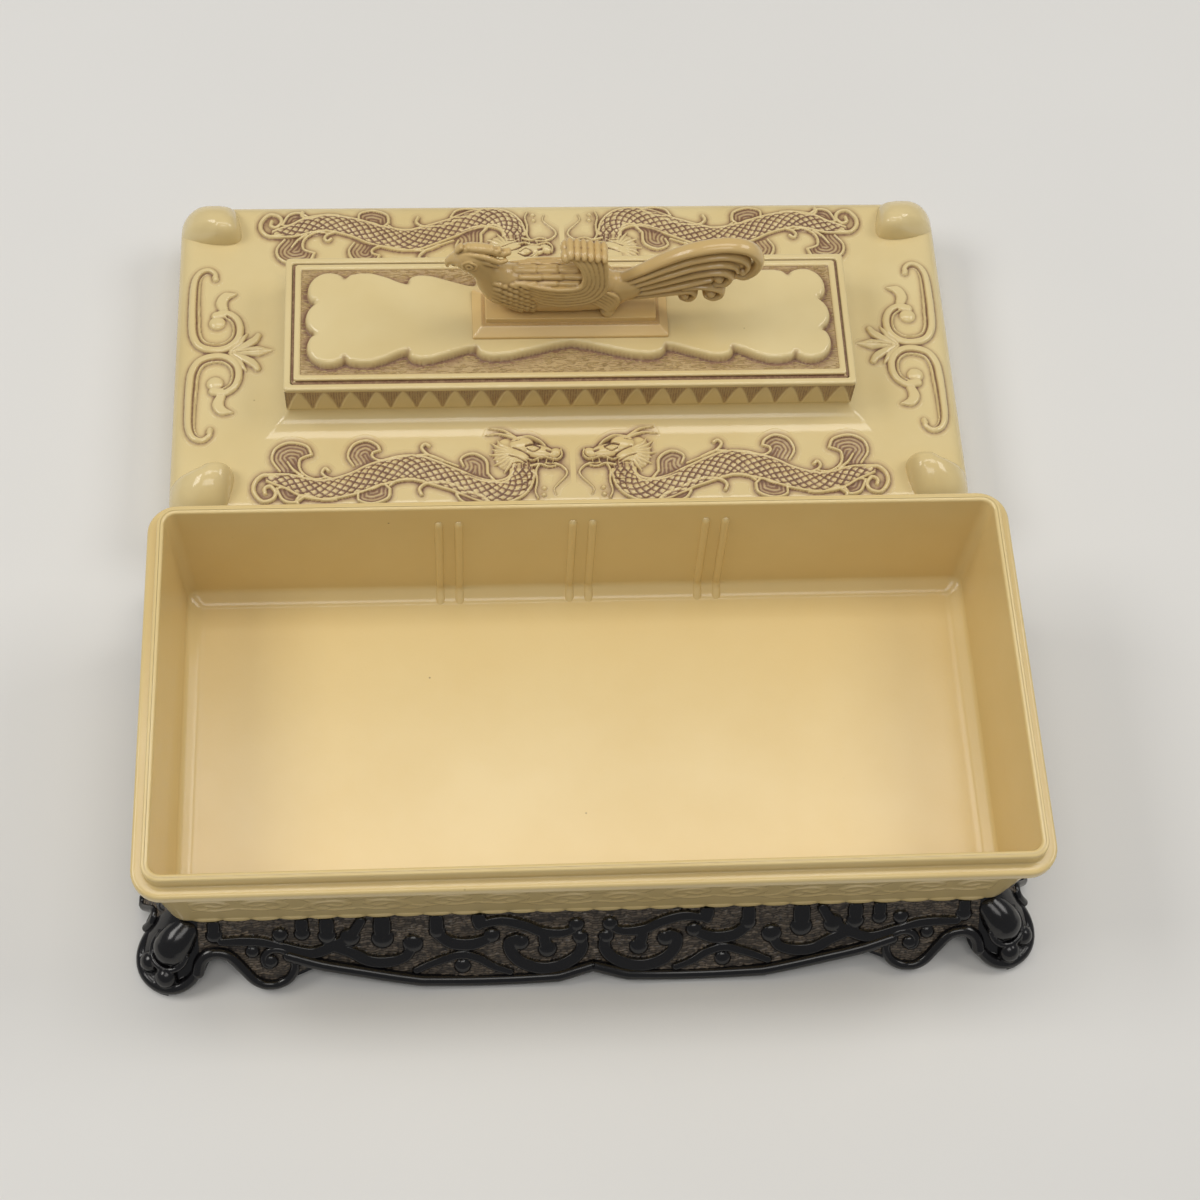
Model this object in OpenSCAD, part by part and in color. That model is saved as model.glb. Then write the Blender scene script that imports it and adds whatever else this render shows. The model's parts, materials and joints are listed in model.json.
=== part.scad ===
// Trinket box: a moulded tray on a flared stand, with a lift-off lid that lies behind it.
// Lengths are in millimetres, +Z is up and the table is the plane z = 0.

/* [Tray] */
// Length of the tray over its rim
tray_l = 250; // [220:1:300]
// Depth of the tray over its rim
tray_d = 119; // [105:1:150]
// Height from the tray's underside to the ledge that carries the lid
tray_h = 40; // [32:1:60]
// Thickness of the tray's walls
tray_wall = 2.8; // [2.2:0.1:4]
// Thickness of the tray's floor
floor_t = 2.4; // [2:0.1:4]
// How far the long walls lean in from rim to floor
lean_long = 4.8; // [2:0.1:7]
// How far the end walls lean in from rim to floor
lean_end = 2.4; // [1:0.1:6]
// Radius of the rim's corners
rim_r = 8.5; // [7:0.1:11]
// Thickness of the rim that stands out from the walls
rim_t = 3.5; // [2.5:0.1:5]
// Width of the ledge around the lip
ledge_w = 3.3; // [3:0.1:4.5]
// Thickness of the lip inside the ledge
lip_t = 2; // [1.5:0.1:3]
// Height of the lip over the ledge
lip_h = 4.5; // [2.5:0.1:7]
// Radius of the hollow corner between the walls and the floor
floor_fillet = 3.5; // [1.5:0.1:5]

/* [Divider ribs] */
// Distance between neighbouring pairs of ribs
rib_pitch = 39; // [25:1:42]
// Pairs of ribs on each long wall
rib_pairs = 3; // [1:1:5]
// Radius of a rib
rib_r = 1.3; // [0.8:0.1:2]
// Slot between the two ribs of a pair
rib_slot = 3.2; // [1.5:0.1:5]
// How far the ribs end under the ledge
rib_drop = 2; // [1:0.5:10]

/* [Stand] */
// Height of the stand under the tray
stand_h = 19; // [16:0.5:30]
// Thickness of the plate that carries the tray
plate_t = 2.5; // [2:0.1:4]
// How far the stand's top edge stays inside the tray's underside
stand_inset = 0.8; // [0.4:0.1:2]
// How far the long aprons flare out
flare_long = 17; // [10:0.5:24]
// How far the end aprons flare out
flare_end = 11.5; // [7:0.5:18]
// Thickness of the aprons, measured level
apron_t = 3.2; // [2.4:0.1:5]
// Gap between the aprons' lobes and the table
apron_lift = 0.8; // [0.4:0.1:3]
// Height of the cusp in the middle of an apron's lower edge
cusp_z = 6; // [3:0.1:10]
// Height of the notch at the outer end of an apron's lobe
notch_z = 7.5; // [5:0.1:11]
// Height of the small curl beside the notch
curl_z = 4; // [2:0.1:5]
// Height of the arch beside a foot
arch_z = 13; // [9:0.1:14]
// Radius of the moulding round a foot
foot_r = 9.5; // [7:0.1:11]
// Radius of the dome on a foot
foot_dome_r = 7.5; // [5:0.1:8]
// Radius of a knuckle on a foot
knuckle_r = 3.4; // [2:0.1:4]

/* [Stand screws] */
// Distance between the screws along the tray
screw_span_l = 170; // [100:1:180]
// Distance between the screws across the tray
screw_span_d = 60; // [40:1:66]
// Radius of the bosses under the tray
boss_r = 3.5; // [3:0.1:4.2]
// Radius of a screw's shank
screw_r = 1.45; // [1:0.05:1.8]
// Radius of a screw's flanged head
screw_head_r = 5.6; // [5:0.1:7]
// Height of a screw's head
screw_head_h = 2; // [1.2:0.1:3]

/* [Lid] */
// Gap on the table between the stand and the lid
lid_gap = 6; // [4:0.5:40]
// Height of the lid's upright walls
lid_skirt_h = 18.4; // [12:0.1:30]
// Radius of the lid's rounded shoulder
lid_shoulder_r = 6; // [3:0.1:7]
// Width of the lid's border along its long sides
border_long = 25.3; // [21:0.1:30]
// Width of the lid's border at its ends
border_end = 26.6; // [22:0.1:32]
// Level width of the cove
cove_run = 10; // [5:0.1:12]
// Rise of the cove
cove_rise = 4.6; // [2:0.1:8]
// Height of the upright band of petals over the cove
petal_band_h = 11.6; // [6:0.1:16]
// Thickness of the lid's crown under the panel
crown_t = 2.4; // [1.6:0.1:4]

/* [Lid horns] */
// Length of a horn along the lid
horn_l = 21; // [14:0.1:22]
// Length of a horn across the lid
horn_d = 17.5; // [12:0.1:19]
// Height of a horn over the border
horn_h = 7.5; // [4:0.1:10]
// Radius of a horn's top
horn_r = 4.6; // [2:0.1:5.5]

/* [Relief] */
// Height of the dragons and scrolls over the lid's border
relief_h = 1.4; // [0.6:0.1:2.5]
// Length of a dragon from its tail to its snout
dragon_l = 94; // [70:1:104]
// Depth of a dragon across the border
dragon_d = 23; // [16:0.5:25]
// Length of a scroll along the lid's end
scroll_l = 66; // [50:1:70]
// Height of the vines over the aprons
vine_h = 1; // [0.4:0.1:1.6]
// Radius of the moulding along the aprons' lower edge
moulding_r = 1.4; // [0.8:0.1:1.8]

/* [Panel and handle] */
// Width of the bead round the panel
bead_w = 2; // [1.2:0.1:4]
// Depth of the recess that holds the panel
recess_h = 1.6; // [0.8:0.1:3]
// How far the panel's ground stands over the bead
ground_h = 0.5; // [0.2:0.1:2]
// Margin between the panel and the cartouche at the ends
margin_end = 4.2; // [2:0.1:8]
// Margin between the panel and the cartouche along the sides
margin_side = 4.4; // [2:0.1:6]
// Height of the cartouche over its ground
cartouche_h = 3; // [1:0.1:4]
// Radius of the lobes at the cartouche's corners
lobe_r = 7; // [5:0.1:8]
// Leaves on each half of a long side of the cartouche
leaf_count = 3; // [2:1:5]
// Depth of the notches between the leaves
notch_h = 4.3; // [2:0.1:6]
// Length of the plinth at its foot
plinth_l = 61; // [50:0.5:72]
// Depth of the plinth at its foot
plinth_d = 18; // [15:0.5:21]
// Height of the plinth's sloping block
plinth_h = 3; // [1.5:0.1:5]
// Level width of the plinth's slope
plinth_slope = 3; // [1:0.1:4]
// Height of the step on the plinth
step_h = 2.2; // [1:0.1:4]
// Length of the bird from beak to tail
bird_l = 96; // [84:1:110]
// Height of the bird
bird_h = 32.5; // [28:0.5:42]
// Breadth of the bird over its wings
bird_w = 16; // [14:0.5:22]

/* [Handle fixing] */
// Radius of the stud that carries the bird
stud_r = 1.7; // [1.4:0.05:1.75]
// Radius of the stud's collar under the washer
collar_r = 2.6; // [2.2:0.1:4]
// Height of the collar over and under its eye
collar_wall = 1.5; // [1:0.1:3]
// How far the stud reaches into the bird
stud_in_bird = 7; // [4:0.5:9]
// Radius of the cross pin under the crown
pin_r = 1.5; // [1:0.05:1.6]
// Length of the cross pin
pin_l = 22; // [14:1:40]
// Outer radius of the washer under the crown
washer_r = 7; // [5:0.1:9]
// Thickness of the washer
washer_t = 1; // [0.6:0.1:2]

/* [Clearances] */
// Gap between the lid's walls and the tray's lip
lid_clear = 0.5; // [0.3:0.05:0.8]
// Gap round the panel in its recess
panel_clear = 0.3; // [0.1:0.05:0.6]
// Gap between a boss and its hole in the stand
boss_clear = 0.2; // [0.1:0.05:0.4]
// Gap round a screw's shank
screw_clear = 0.05; // [0.03:0.01:0.2]
// Gap round the stud
stud_clear = 0.2; // [0.1:0.05:0.4]
// Running gap round the cross pin
pin_clear = 0.05; // [0.02:0.01:0.1]

/* [Hidden] */

ivory = "#DCC68E";
tan = "#CDB178";
ebony = "#17161A";
steel = "#8C8C90";

$fn = 64;
eps = 0.01;
corner_steps = 8;
arc_steps = 6;

// Tray
ledge_z = stand_h + tray_h;
floor_z = stand_h + floor_t;
rim_out = ledge_w + lip_t - tray_wall;
lip_l = tray_l - 2 * ledge_w;
lip_d = tray_d - 2 * ledge_w;
well_l = lip_l - 2 * lip_t;
well_d = lip_d - 2 * lip_t;
well_r = max(rim_r - ledge_w - lip_t, 1);
base_l = well_l - 2 * lean_end + 2 * tray_wall;
base_d = well_d - 2 * lean_long + 2 * tray_wall;
base_r = well_r + tray_wall;
lip_round = lip_t / 3;

// Stand
top_l = base_l - 2 * stand_inset;
top_d = base_d - 2 * stand_inset;
stand_l = top_l + 2 * flare_end;
stand_d = top_d + 2 * flare_long;
stand_r = base_r + flare_end / 2;
foot_x = stand_l / 2 - foot_r;
foot_y = stand_d / 2 - foot_r;
arch_top_z = min(arch_z, stand_h - plate_t - 2);
cut_x = foot_x - foot_r;
cut_y = foot_y - foot_r;

// Lid, which is as long and as deep as the tray's rim
lid_wall = ledge_w - lid_clear;
shoulder_z = lid_skirt_h + lid_shoulder_r;
cove_l = tray_l - 2 * border_end;
cove_d = tray_d - 2 * border_long;
crown_l = cove_l - 2 * cove_run;
crown_d = cove_d - 2 * cove_run;
cove_top_z = shoulder_z + cove_rise;
bead_z = cove_top_z + petal_band_h;
recess_z = bead_z - recess_h;
crown_under_z = recess_z - crown_t;
panel_l = crown_l - 2 * bead_w - 2 * panel_clear;
panel_d = crown_d - 2 * bead_w - 2 * panel_clear;
ground_z = bead_z + ground_h;
cartouche_z = ground_z + cartouche_h;
cartouche_l = panel_l - 2 * margin_end;
cartouche_d = panel_d - 2 * margin_side;
plinth_top_l = plinth_l - 2 * plinth_slope;
plinth_top_d = plinth_d - 2 * plinth_slope;
step_z = cartouche_z + plinth_h;
bird_z = step_z + step_h;
pin_z = crown_under_z - washer_t - collar_wall - pin_r - pin_clear;

// Relief: the border's middle line, the slopes of the aprons, and how deep their relief is let in
border_mid = tray_d / 2 - border_long / 2;
slope_long = flare_long / (stand_h - apron_lift);
slope_end = flare_end / (stand_h - apron_lift);
sink_long = 0.1;
sink_end = 0.4;

// The origin is under the middle of the box and the lid taken together
lid_shift = stand_d / 2 + lid_gap + tray_d / 2;
box_y = (stand_d / 2 - tray_d / 2 - lid_shift) / 2;
lid_y = box_y + lid_shift;

// Corner points of a rounded rectangle, anticlockwise, at one height
function ring(l, d, r, z) = [
    for (c = [0:3])
        for (k = [0:corner_steps])
            let (
                a = 90 * (c + k / corner_steps),
                sx = (c == 0 || c == 3) ? 1 : -1,
                sy = (c < 2) ? 1 : -1
            )
            [sx * (l / 2 - r) + r * cos(a), sy * (d / 2 - r) + r * sin(a), z]
];

// Closed solid through rings that have the same number of points
module loft(rings) {
    n = len(rings[0]);
    last = (len(rings) - 1) * n;
    sides = [
        for (j = [0:len(rings) - 2])
            for (i = [0:n - 1])
                let (a = j * n + i, b = j * n + (i + 1) % n)
                each [[a, a + n, b + n], [a, b + n, b]]
    ];
    bottom = [for (i = [0:n - 1]) i];
    top = [for (i = [n - 1:-1:0]) last + i];
    polyhedron([for (r = rings) each r], concat([bottom], sides, [top]), convexity = 10);
}

// Copies of the children at the four corners of a rectangle
module at_corners(l, d) {
    for (sx = [-1, 1])
        for (sy = [-1, 1])
            translate([sx * l / 2, sy * d / 2, 0]) children();
}

// Copies of the children mirrored into all four quarters
module four_quarters() {
    for (mx = [0, 1])
        for (my = [0, 1])
            mirror([mx, 0, 0]) mirror([0, my, 0]) children();
}

// Solid block with rounded upright corners
module slab(l, d, r, z0, z1) {
    translate([0, 0, z0]) linear_extrude(z1 - z0) polygon([for (p = ring(l, d, r, 0)) [p.x, p.y]]);
}

// Point on a cubic curve through four control points
function bezier(p, t) =
    pow(1 - t, 3) * p[0] + 3 * t * pow(1 - t, 2) * p[1] + 3 * t * t * (1 - t) * p[2] + pow(t, 3) * p[3];

// Smooth rise from 0 to 1
function ease(t) = (1 - cos(180 * min(max(t, 0), 1))) / 2;

// Height of an apron's lower edge at distance x from its middle, over a half length h
function apron_edge(x, h) =
    let (s = abs(x) / h)
    s < 0.4 ? cusp_z + (apron_lift - cusp_z) * sin(90 * s / 0.4)
    : s < 0.77 ? apron_lift + (notch_z - apron_lift) * ease((s - 0.4) / 0.37)
    : s < 0.83 ? notch_z + (curl_z - notch_z) * ease((s - 0.77) / 0.06)
    : s < 0.94 ? curl_z + (arch_top_z - curl_z) * ease((s - 0.83) / 0.11)
    : arch_top_z;

// Shares of an apron's half length at which its lower edge bends
edge_bends = [
    0, 0.06, 0.12, 0.2, 0.28, 0.36, 0.44, 0.52, 0.6, 0.7, 0.77, 0.8, 0.83, 0.86, 0.88, 0.91, 0.94, 1
];

// Lower edge of an apron over a half length h, from end to end
function edge_line(h) = [
    for (k = [1 - len(edge_bends):len(edge_bends) - 1])
        let (x = sign(k) * edge_bends[abs(k)] * h)
        [x, apron_edge(x, h)]
];

// Profile that is cut away under an apron
module apron_cut(h) {
    polygon(concat([[-h, -1]], edge_line(h), [[h, -1]]));
}

// Low raised stroke along points: x, y and half width; it rises from under the surface to height h
module cord(p, h) {
    last = len(p) - 1;
    loft([
        for (k = [0:last])
            let (d = p[min(k + 1, last)] - p[max(k - 1, 0)], n = [-d.y, d.x] / norm([d.x, d.y]) * p[k][2])
            [
                for (c = [[1, -0.6], [0.5, 1], [-0.5, 1], [-1, -0.6]])
                    [p[k].x + c.x * n.x, p[k].y + c.x * n.y, c.y * h]
            ]
    ]);
}

// Vines on one half of an apron, on a figure of this half length and height
vine_figure = [112, 19];
vine_r = 1.3;
vines = [
    [[4, 12], [4, 9], [9, 6], [15, 5.5], [21, 7], [24, 10], [22, 12]],
    [[105, 13.5], [95, 13.5], [88, 12], [80, 10.5], [74, 12], [66, 16.5]],
    [[50, 6], [42, 8], [37, 9], [29, 6], [24, 5]],
    [[33, 16], [26, 16.5], [15, 14], [6, 14]],
    [[45, 16], [44, 13.5], [35, 11.5], [29, 13]],
    [[71, 11], [64, 8.5], [58, 8], [52, 11.5]],
    [[60, 13], [60, 16.5]],
    [[13.5, 9], [13.5, 12]]
];

// Moulding and vines of one apron, drawn flat: along the apron, height over the table, height over its face
module apron_relief(h, width, count) {
    fit = [h / vine_figure[0], stand_h / vine_figure[1]];
    cord([for (p = edge_line(h)) [p.x * 1.01, p.y + moulding_r, 1.2 * moulding_r]], 0.6 * moulding_r);
    for (m = [0, 1])
        mirror([m, 0, 0]) {
            for (k = [0:count - 1])
                cord([for (p = vines[k]) [p.x * fit.x, p.y * fit.y, width]], vine_h * (1 - 0.05 * k));
        }
}

// Lays a drawing on the apron that slopes down towards -Y, at this reach from the middle
module on_apron(reach, slope) {
    lean = sqrt(1 + slope * slope);
    multmatrix([
        [1, 0, 0, 0],
        [0, slope, -1 / lean, -reach - apron_lift * slope],
        [0, 1, slope / lean, 0],
        [0, 0, 0, 1]
    ]) children();
}

module stand_relief() {
    for (t = [0, 180]) {
        rotate([0, 0, t]) on_apron(stand_d / 2 - sink_long, slope_long)
            apron_relief(cut_x, vine_r, len(vines));
        rotate([0, 0, t + 90]) on_apron(stand_l / 2 - sink_end, slope_end)
            apron_relief(cut_y, vine_r * 0.7, 3);
    }
}

module foot() {
    translate([foot_x, foot_y, 0]) {
        cylinder(r = foot_r, h = apron_lift + 3);
        translate([-1.8, -3.5, stand_h - 1 - foot_dome_r]) sphere(r = foot_dome_r);
        for (a = [20, 70])
            rotate([0, 0, a]) translate([foot_r - knuckle_r - 0.2, 0, apron_lift + 4]) sphere(r = knuckle_r);
    }
}

module stand() {
    color(ebony) translate([0, box_y, 0]) difference() {
        union() {
            loft([ring(stand_l, stand_d, stand_r, apron_lift), ring(top_l, top_d, base_r, stand_h)]);
            four_quarters() foot();
            stand_relief();
        }
        difference() {
            loft([
                ring(stand_l - 2 * apron_t, stand_d - 2 * apron_t, stand_r - apron_t, apron_lift - eps),
                ring(top_l - 2 * apron_t, top_d - 2 * apron_t, base_r - apron_t / 2, stand_h - eps)
            ]);
            slab(stand_l, stand_d, base_r, stand_h - plate_t, stand_h + 1);
            four_quarters() translate([foot_x, foot_y, -1]) cylinder(r = foot_r, h = stand_h);
        }
        translate([0, stand_d, 0]) rotate([90, 0, 0]) linear_extrude(2 * stand_d) apron_cut(cut_x);
        translate([-stand_l, 0, 0]) rotate([90, 0, 90]) linear_extrude(2 * stand_l) apron_cut(cut_y);
        at_corners(screw_span_l, screw_span_d) cylinder(r = boss_r + boss_clear, h = stand_h + 1);
    }
}

// One upright rib that leans with the wall behind it
module rib() {
    wall_y = well_d / 2;
    low_y = wall_y - lean_long;
    lean = atan2(lean_long, ledge_z + lip_h - floor_z);
    rib_h = ledge_z - rib_drop - floor_z;
    translate([0, low_y, floor_z - eps]) rotate([-lean, 0, 0]) cylinder(r = rib_r, h = rib_h);
}

module ribs() {
    half_step = rib_r + rib_slot / 2;
    for (k = [0:rib_pairs - 1])
        for (s = [-1, 1])
            for (m = [0, 1])
                mirror([0, m, 0])
                    translate([(k - (rib_pairs - 1) / 2) * rib_pitch + s * half_step, 0, 0]) rib();
}

module tray() {
    under_rim_z = ledge_z - rim_t;
    out_l = tray_l - 2 * rim_out;
    out_d = tray_d - 2 * rim_out;
    lip_z = ledge_z + lip_h;
    fillet_l = well_l - 2 * lean_end;
    fillet_d = well_d - 2 * lean_long;
    color(ivory) translate([0, box_y, 0]) {
        difference() {
            loft([
                ring(base_l, base_d, base_r, stand_h),
                ring(out_l, out_d, rim_r - rim_out, under_rim_z - rim_out / 2),
                ring(tray_l, tray_d, rim_r, under_rim_z),
                ring(tray_l, tray_d, rim_r, ledge_z),
                ring(lip_l, lip_d, rim_r - ledge_w, ledge_z),
                ring(lip_l, lip_d, rim_r - ledge_w, lip_z - lip_round),
                ring(lip_l - 2 * lip_round, lip_d - 2 * lip_round, rim_r - ledge_w - lip_round, lip_z)
            ]);
            loft([
                for (k = [0:arc_steps])
                    let (a = 90 * k / arc_steps, in = floor_fillet * (1 - sin(a)))
                    ring(
                        fillet_l - 2 * in, fillet_d - 2 * in, well_r,
                        floor_z + floor_fillet * (1 - cos(a))
                    ),
                ring(well_l, well_d, well_r, lip_z - lip_round),
                ring(well_l + lip_round, well_d + lip_round, well_r, lip_z + eps)
            ]);
            at_corners(screw_span_l, screw_span_d) translate([0, 0, stand_h - 1])
                cylinder(r = screw_r + screw_clear, h = 1 + floor_t / 2);
        }
        ribs();
        at_corners(screw_span_l, screw_span_d) translate([0, 0, stand_h - plate_t]) difference() {
            cylinder(r = boss_r, h = plate_t);
            translate([0, 0, -eps]) cylinder(r = screw_r + screw_clear, h = plate_t + 2 * eps);
        }
    }
}

module stand_screws() {
    shank_h = plate_t + floor_t / 2 - 0.2;
    color(steel) translate([0, box_y, stand_h - plate_t]) at_corners(screw_span_l, screw_span_d) {
        cylinder(r = screw_r, h = shank_h);
        translate([0, 0, -screw_head_h]) cylinder(r = screw_head_r, h = screw_head_h);
    }
}

// Rings up the lid's outside, from the skirt to the bead; inset moves them in to make its inside
function lid_rings(inset, z0) = let (crown_r = 1.2) concat(
    [ring(tray_l - 2 * inset, tray_d - 2 * inset, rim_r - inset, z0)],
    [
        for (k = [0:arc_steps])
            let (a = 90 * k / arc_steps, in = inset + max(lid_shoulder_r - inset, 0.1) * (1 - cos(a)))
            ring(
                tray_l - 2 * in, tray_d - 2 * in, max(rim_r - in, 0.5),
                lid_skirt_h + max(lid_shoulder_r - inset, 0.1) * sin(a)
            )
    ],
    [
        for (k = [0:arc_steps])
            let (a = 90 * k / arc_steps, in = inset + cove_run * sin(a))
            ring(cove_l - 2 * in, cove_d - 2 * in, crown_r, shoulder_z - inset + cove_rise * (1 - cos(a)))
    ]
);

module horn() {
    corner_r = rim_r - 0.5;
    foot_cyl_r = 3;
    base_z = lid_skirt_h;
    translate([tray_l / 2, tray_d / 2, 0]) hull() {
        translate([-corner_r - 0.5, -corner_r - 0.5, base_z]) cylinder(r = corner_r, h = 1, $fn = 24);
        translate([-horn_l + foot_cyl_r, -horn_d + foot_cyl_r, base_z])
            cylinder(r = foot_cyl_r, h = lid_shoulder_r, $fn = 16);
        translate([-horn_l + foot_cyl_r, -foot_cyl_r - 0.5, base_z])
            cylinder(r = foot_cyl_r, h = 1, $fn = 16);
        translate([-foot_cyl_r - 0.5, -horn_d + foot_cyl_r, base_z])
            cylinder(r = foot_cyl_r, h = 1, $fn = 16);
        translate([-horn_l + horn_r + 1, -horn_d + horn_r + 0.6, shoulder_z + horn_h - horn_r])
            sphere(r = horn_r, $fn = 20);
    }
}

// Points of a smooth curve through p, with n steps between neighbours
function smooth(p, n) = concat(
    [
        for (k = [0:len(p) - 2])
            for (i = [0:n - 1])
                let (t = i / n, a = p[max(k - 1, 0)], b = p[k], c = p[k + 1], d = p[min(k + 2, len(p) - 1)])
                b + 0.5 * t * ((c - a) + t * (2 * a - 5 * b + 4 * c - d) + t * t * (3 * b - a - 3 * c + d))
    ],
    [p[len(p) - 1]]
);

// A dragon is laid out on a figure of this length and depth, from its tail, about the border's middle line
dragon_figure = [94, 23];
snout_gap = 4;
dragon_spine = [
    [4, 1, 1.2], [10, -0.5, 2.4], [15, -2.5, 3.1], [20, -3.5, 3.2], [25, -3, 3.4], [32, -1, 3.7],
    [40, 2.5, 4], [48, 3.8, 4.2], [54, 2, 4], [60, -1, 3.8], [66, -3.5, 3.6], [71, -5, 3.7],
    [76, -4.8, 3.8], [80, -2, 3.7], [82, 2, 3.5]
];
dragon_fins = [
    [[10.5, -0.2, 1.6], [8.5, 6.5, 2.8], [9.5, 10, 2.4], [13, 10.8, 1.8], [16.5, 9.2, 0.6]],
    [[34.5, 1, 2], [31.5, 8, 2.8], [33.2, 11, 2.2], [37.5, 10.5, 0.6]],
    [[62, 3, 0.8], [56, 6.5, 0.7], [52.5, 8.5, 0.7], [51, 10.8, 0.6], [53, 11.5, 0.5]],
    [[63.5, -0.6, 1.6], [66.5, 6, 2], [70, 5.5, 1.6], [71.3, 1.5, 0.8]],
    [[40, -2, 1], [39.5, -6.5, 1.6], [36, -8, 1.8], [32, -5.5, 1]],
    [[61, -4, 0.8], [66, -8.2, 1.4], [71.5, -8, 0.8]],
    [[7, -2, 0.8], [10, -6, 1.4], [14.5, -6, 0.8]],
    [[7, 2, 0.9], [1.5, 0.5, 0.8], [0, -3, 0.8], [2, -7, 0.8], [5.5, -6, 0.7], [5.8, -3.5, 0.6]],
    [[81, 12, 0.9], [76, 14.6, 0.7], [71, 15, 0.4]],
    [[82, 9, 1.4], [76, 10, 1.2], [73, 9.5, 0.5]],
    [[82, 6.5, 1.4], [76, 6.5, 1.2], [72.5, 6.5, 0.5]],
    [[82, 4, 1.2], [76, 3, 1.2], [74, 3, 0.5]],
    [[92.5, 3.5, 0.6], [88, 3.5, 0.7], [83, 4.5, 0.8]],
    [[91, 4.6, 0.5], [95.5, 2, 0.5], [93, -3, 0.5], [92, -6, 0.4]]
];

// Head bumps: place, radius and height
dragon_head = [[82, 9, 4.8, 1.3], [87.5, 8.4, 2.8, 1.2], [92.5, 8, 1.8, 1.2]];

module dragon() {
    translate([-snout_gap - dragon_l, -border_mid, 0])
        scale([dragon_l / dragon_figure[0], dragon_d / dragon_figure[1], 1]) {
            cord(smooth(dragon_spine, 2), 0.9);
            for (k = [0:len(dragon_fins) - 1]) cord(dragon_fins[k], 0.76 - 0.02 * k);
            for (k = [0:len(dragon_head) - 2])
                hull()
                    for (b = [dragon_head[k], dragon_head[k + 1]])
                        translate([b[0], b[1], -0.5])
                            cylinder(r1 = b[2], r2 = b[2] * 0.6, h = b[3] + 0.5, $fn = 12);
        }
}

// Half a scroll, from the lid's end and its middle line, on a figure of this length
scroll_figure = 66;
scroll_band = [
    [12.5, 28, 0.8], [11.8, 30.6, 1.4], [9.8, 31.8, 1.6], [7.4, 30.6, 1.6], [6.2, 27, 1.6], [6, 20, 1.6],
    [6.2, 13, 1.6], [6.8, 7.2, 1.6], [8.8, 3.4, 1.6], [12.4, 1.9, 1.5], [16.4, 2.3, 1.5], [19.4, 5, 1.5],
    [20.2, 8.8, 1.5], [19, 12.6, 1.5], [16, 14.7, 1.4], [13, 14, 1.2]
];
scroll_leaves = [
    [[15.4, 16, 1.5], [14.6, 19, 1.7], [15.8, 21.4, 1.4], [19.1, 22.3, 0.4]],
    [[18, 1.2, 0.6], [21, 3.8, 1.1], [23.6, 7, 0.4]],
    [[19.5, 1, 0.5], [23.4, 3, 1], [25.8, 5, 0.8]]
];

module half_scroll() {
    translate([-tray_l / 2, 0, 0]) scale([1, scroll_l / scroll_figure, 1]) {
        cord(scroll_band, 0.75);
        for (k = [0:len(scroll_leaves) - 1]) cord(scroll_leaves[k], 0.65 - 0.04 * k);
        translate([13, 11.4, -0.5]) cylinder(r1 = 2.4, r2 = 1.3, h = 1.3, $fn = 12);
    }
}

// Leaf on the middle line, between the two halves of a scroll
module middle_leaf() {
    translate([-tray_l / 2, 0, 0]) cord([[16, 0, 0.6], [23.5, 0, 1.4], [30, 0, 0.3]], 0.7);
}

module lid_relief() {
    translate([0, 0, shoulder_z]) scale([1, 1, relief_h]) {
        four_quarters() {
            dragon();
            half_scroll();
        }
        for (m = [0, 1]) mirror([m, 0, 0]) middle_leaf();
    }
}

module lid_shell() {
    color(ivory) translate([0, lid_y, 0]) difference() {
        union() {
            loft(concat(
                lid_rings(0, 0),
                [ring(crown_l, crown_d, 1.2, bead_z)]
            ));
            four_quarters() horn();
            lid_relief();
        }
        loft(concat(
            lid_rings(lid_wall, -1),
            [ring(crown_l - 2 * lid_wall, crown_d - 2 * lid_wall, 1.2, crown_under_z)]
        ));
        slab(panel_l + 2 * panel_clear, panel_d + 2 * panel_clear, 1.2, recess_z, bead_z + 1);
        cylinder(r = stud_r + stud_clear, h = bead_z + 1);
    }
}

// Half outline of the cartouche's long side, from its middle notch to its corner lobe
leaf_zone = cartouche_l / 2 - 2 * lobe_r + 2;
leaf_l = leaf_zone / leaf_count;
leaf_r = 2.6;
function leaf(k) = let (x1 = (k + 1) * leaf_l, low = cartouche_d / 2 - notch_h - (k == 0 ? 1.5 : 0)) concat(
    [[k * leaf_l, low]],
    [
        for (a = [95:-25:-30])
            [x1 - leaf_r - 0.4 + leaf_r * cos(a), cartouche_d / 2 - leaf_r + leaf_r * sin(a)]
    ]
);

module cartouche_quarter() {
    side = [for (k = [0:leaf_count - 1]) each leaf(k)];
    union() {
        polygon(concat([[-eps, -eps]], side, [[leaf_zone, cartouche_d / 2 - notch_h], [leaf_zone, -eps]]));
        translate([cartouche_l / 2 - lobe_r, cartouche_d / 2 - lobe_r]) circle(r = lobe_r);
        translate([cartouche_l / 2 - lobe_r, 0]) circle(r = lobe_r);
        square([cartouche_l / 2 - 2, cartouche_d / 2 - lobe_r]);
        square([cartouche_l / 2 - lobe_r, cartouche_d / 2 - 2.4]);
    }
}

module cartouche_panel() {
    color(ivory) translate([0, lid_y, 0]) difference() {
        union() {
            slab(panel_l, panel_d, 1.2, recess_z, ground_z);
            translate([0, 0, ground_z - eps]) linear_extrude(cartouche_h + eps)
                four_quarters() cartouche_quarter();
        }
        translate([0, 0, recess_z - 1]) cylinder(r = stud_r + stud_clear, h = cartouche_z);
    }
}

module plinth() {
    color(tan) translate([0, lid_y, 0]) difference() {
        union() {
            loft([
                ring(plinth_l, plinth_d, 0.6, cartouche_z),
                ring(plinth_top_l, plinth_top_d, 0.6, step_z)
            ]);
            slab(plinth_top_l - 2, plinth_top_d - 2, 0.6, step_z - eps, bird_z);
        }
        translate([0, 0, cartouche_z - 1]) cylinder(r = stud_r + stud_clear, h = bird_z);
    }
}

// The bird is laid out on a figure of this length, breadth and height
figure = [96, 16, 32.5];

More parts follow.
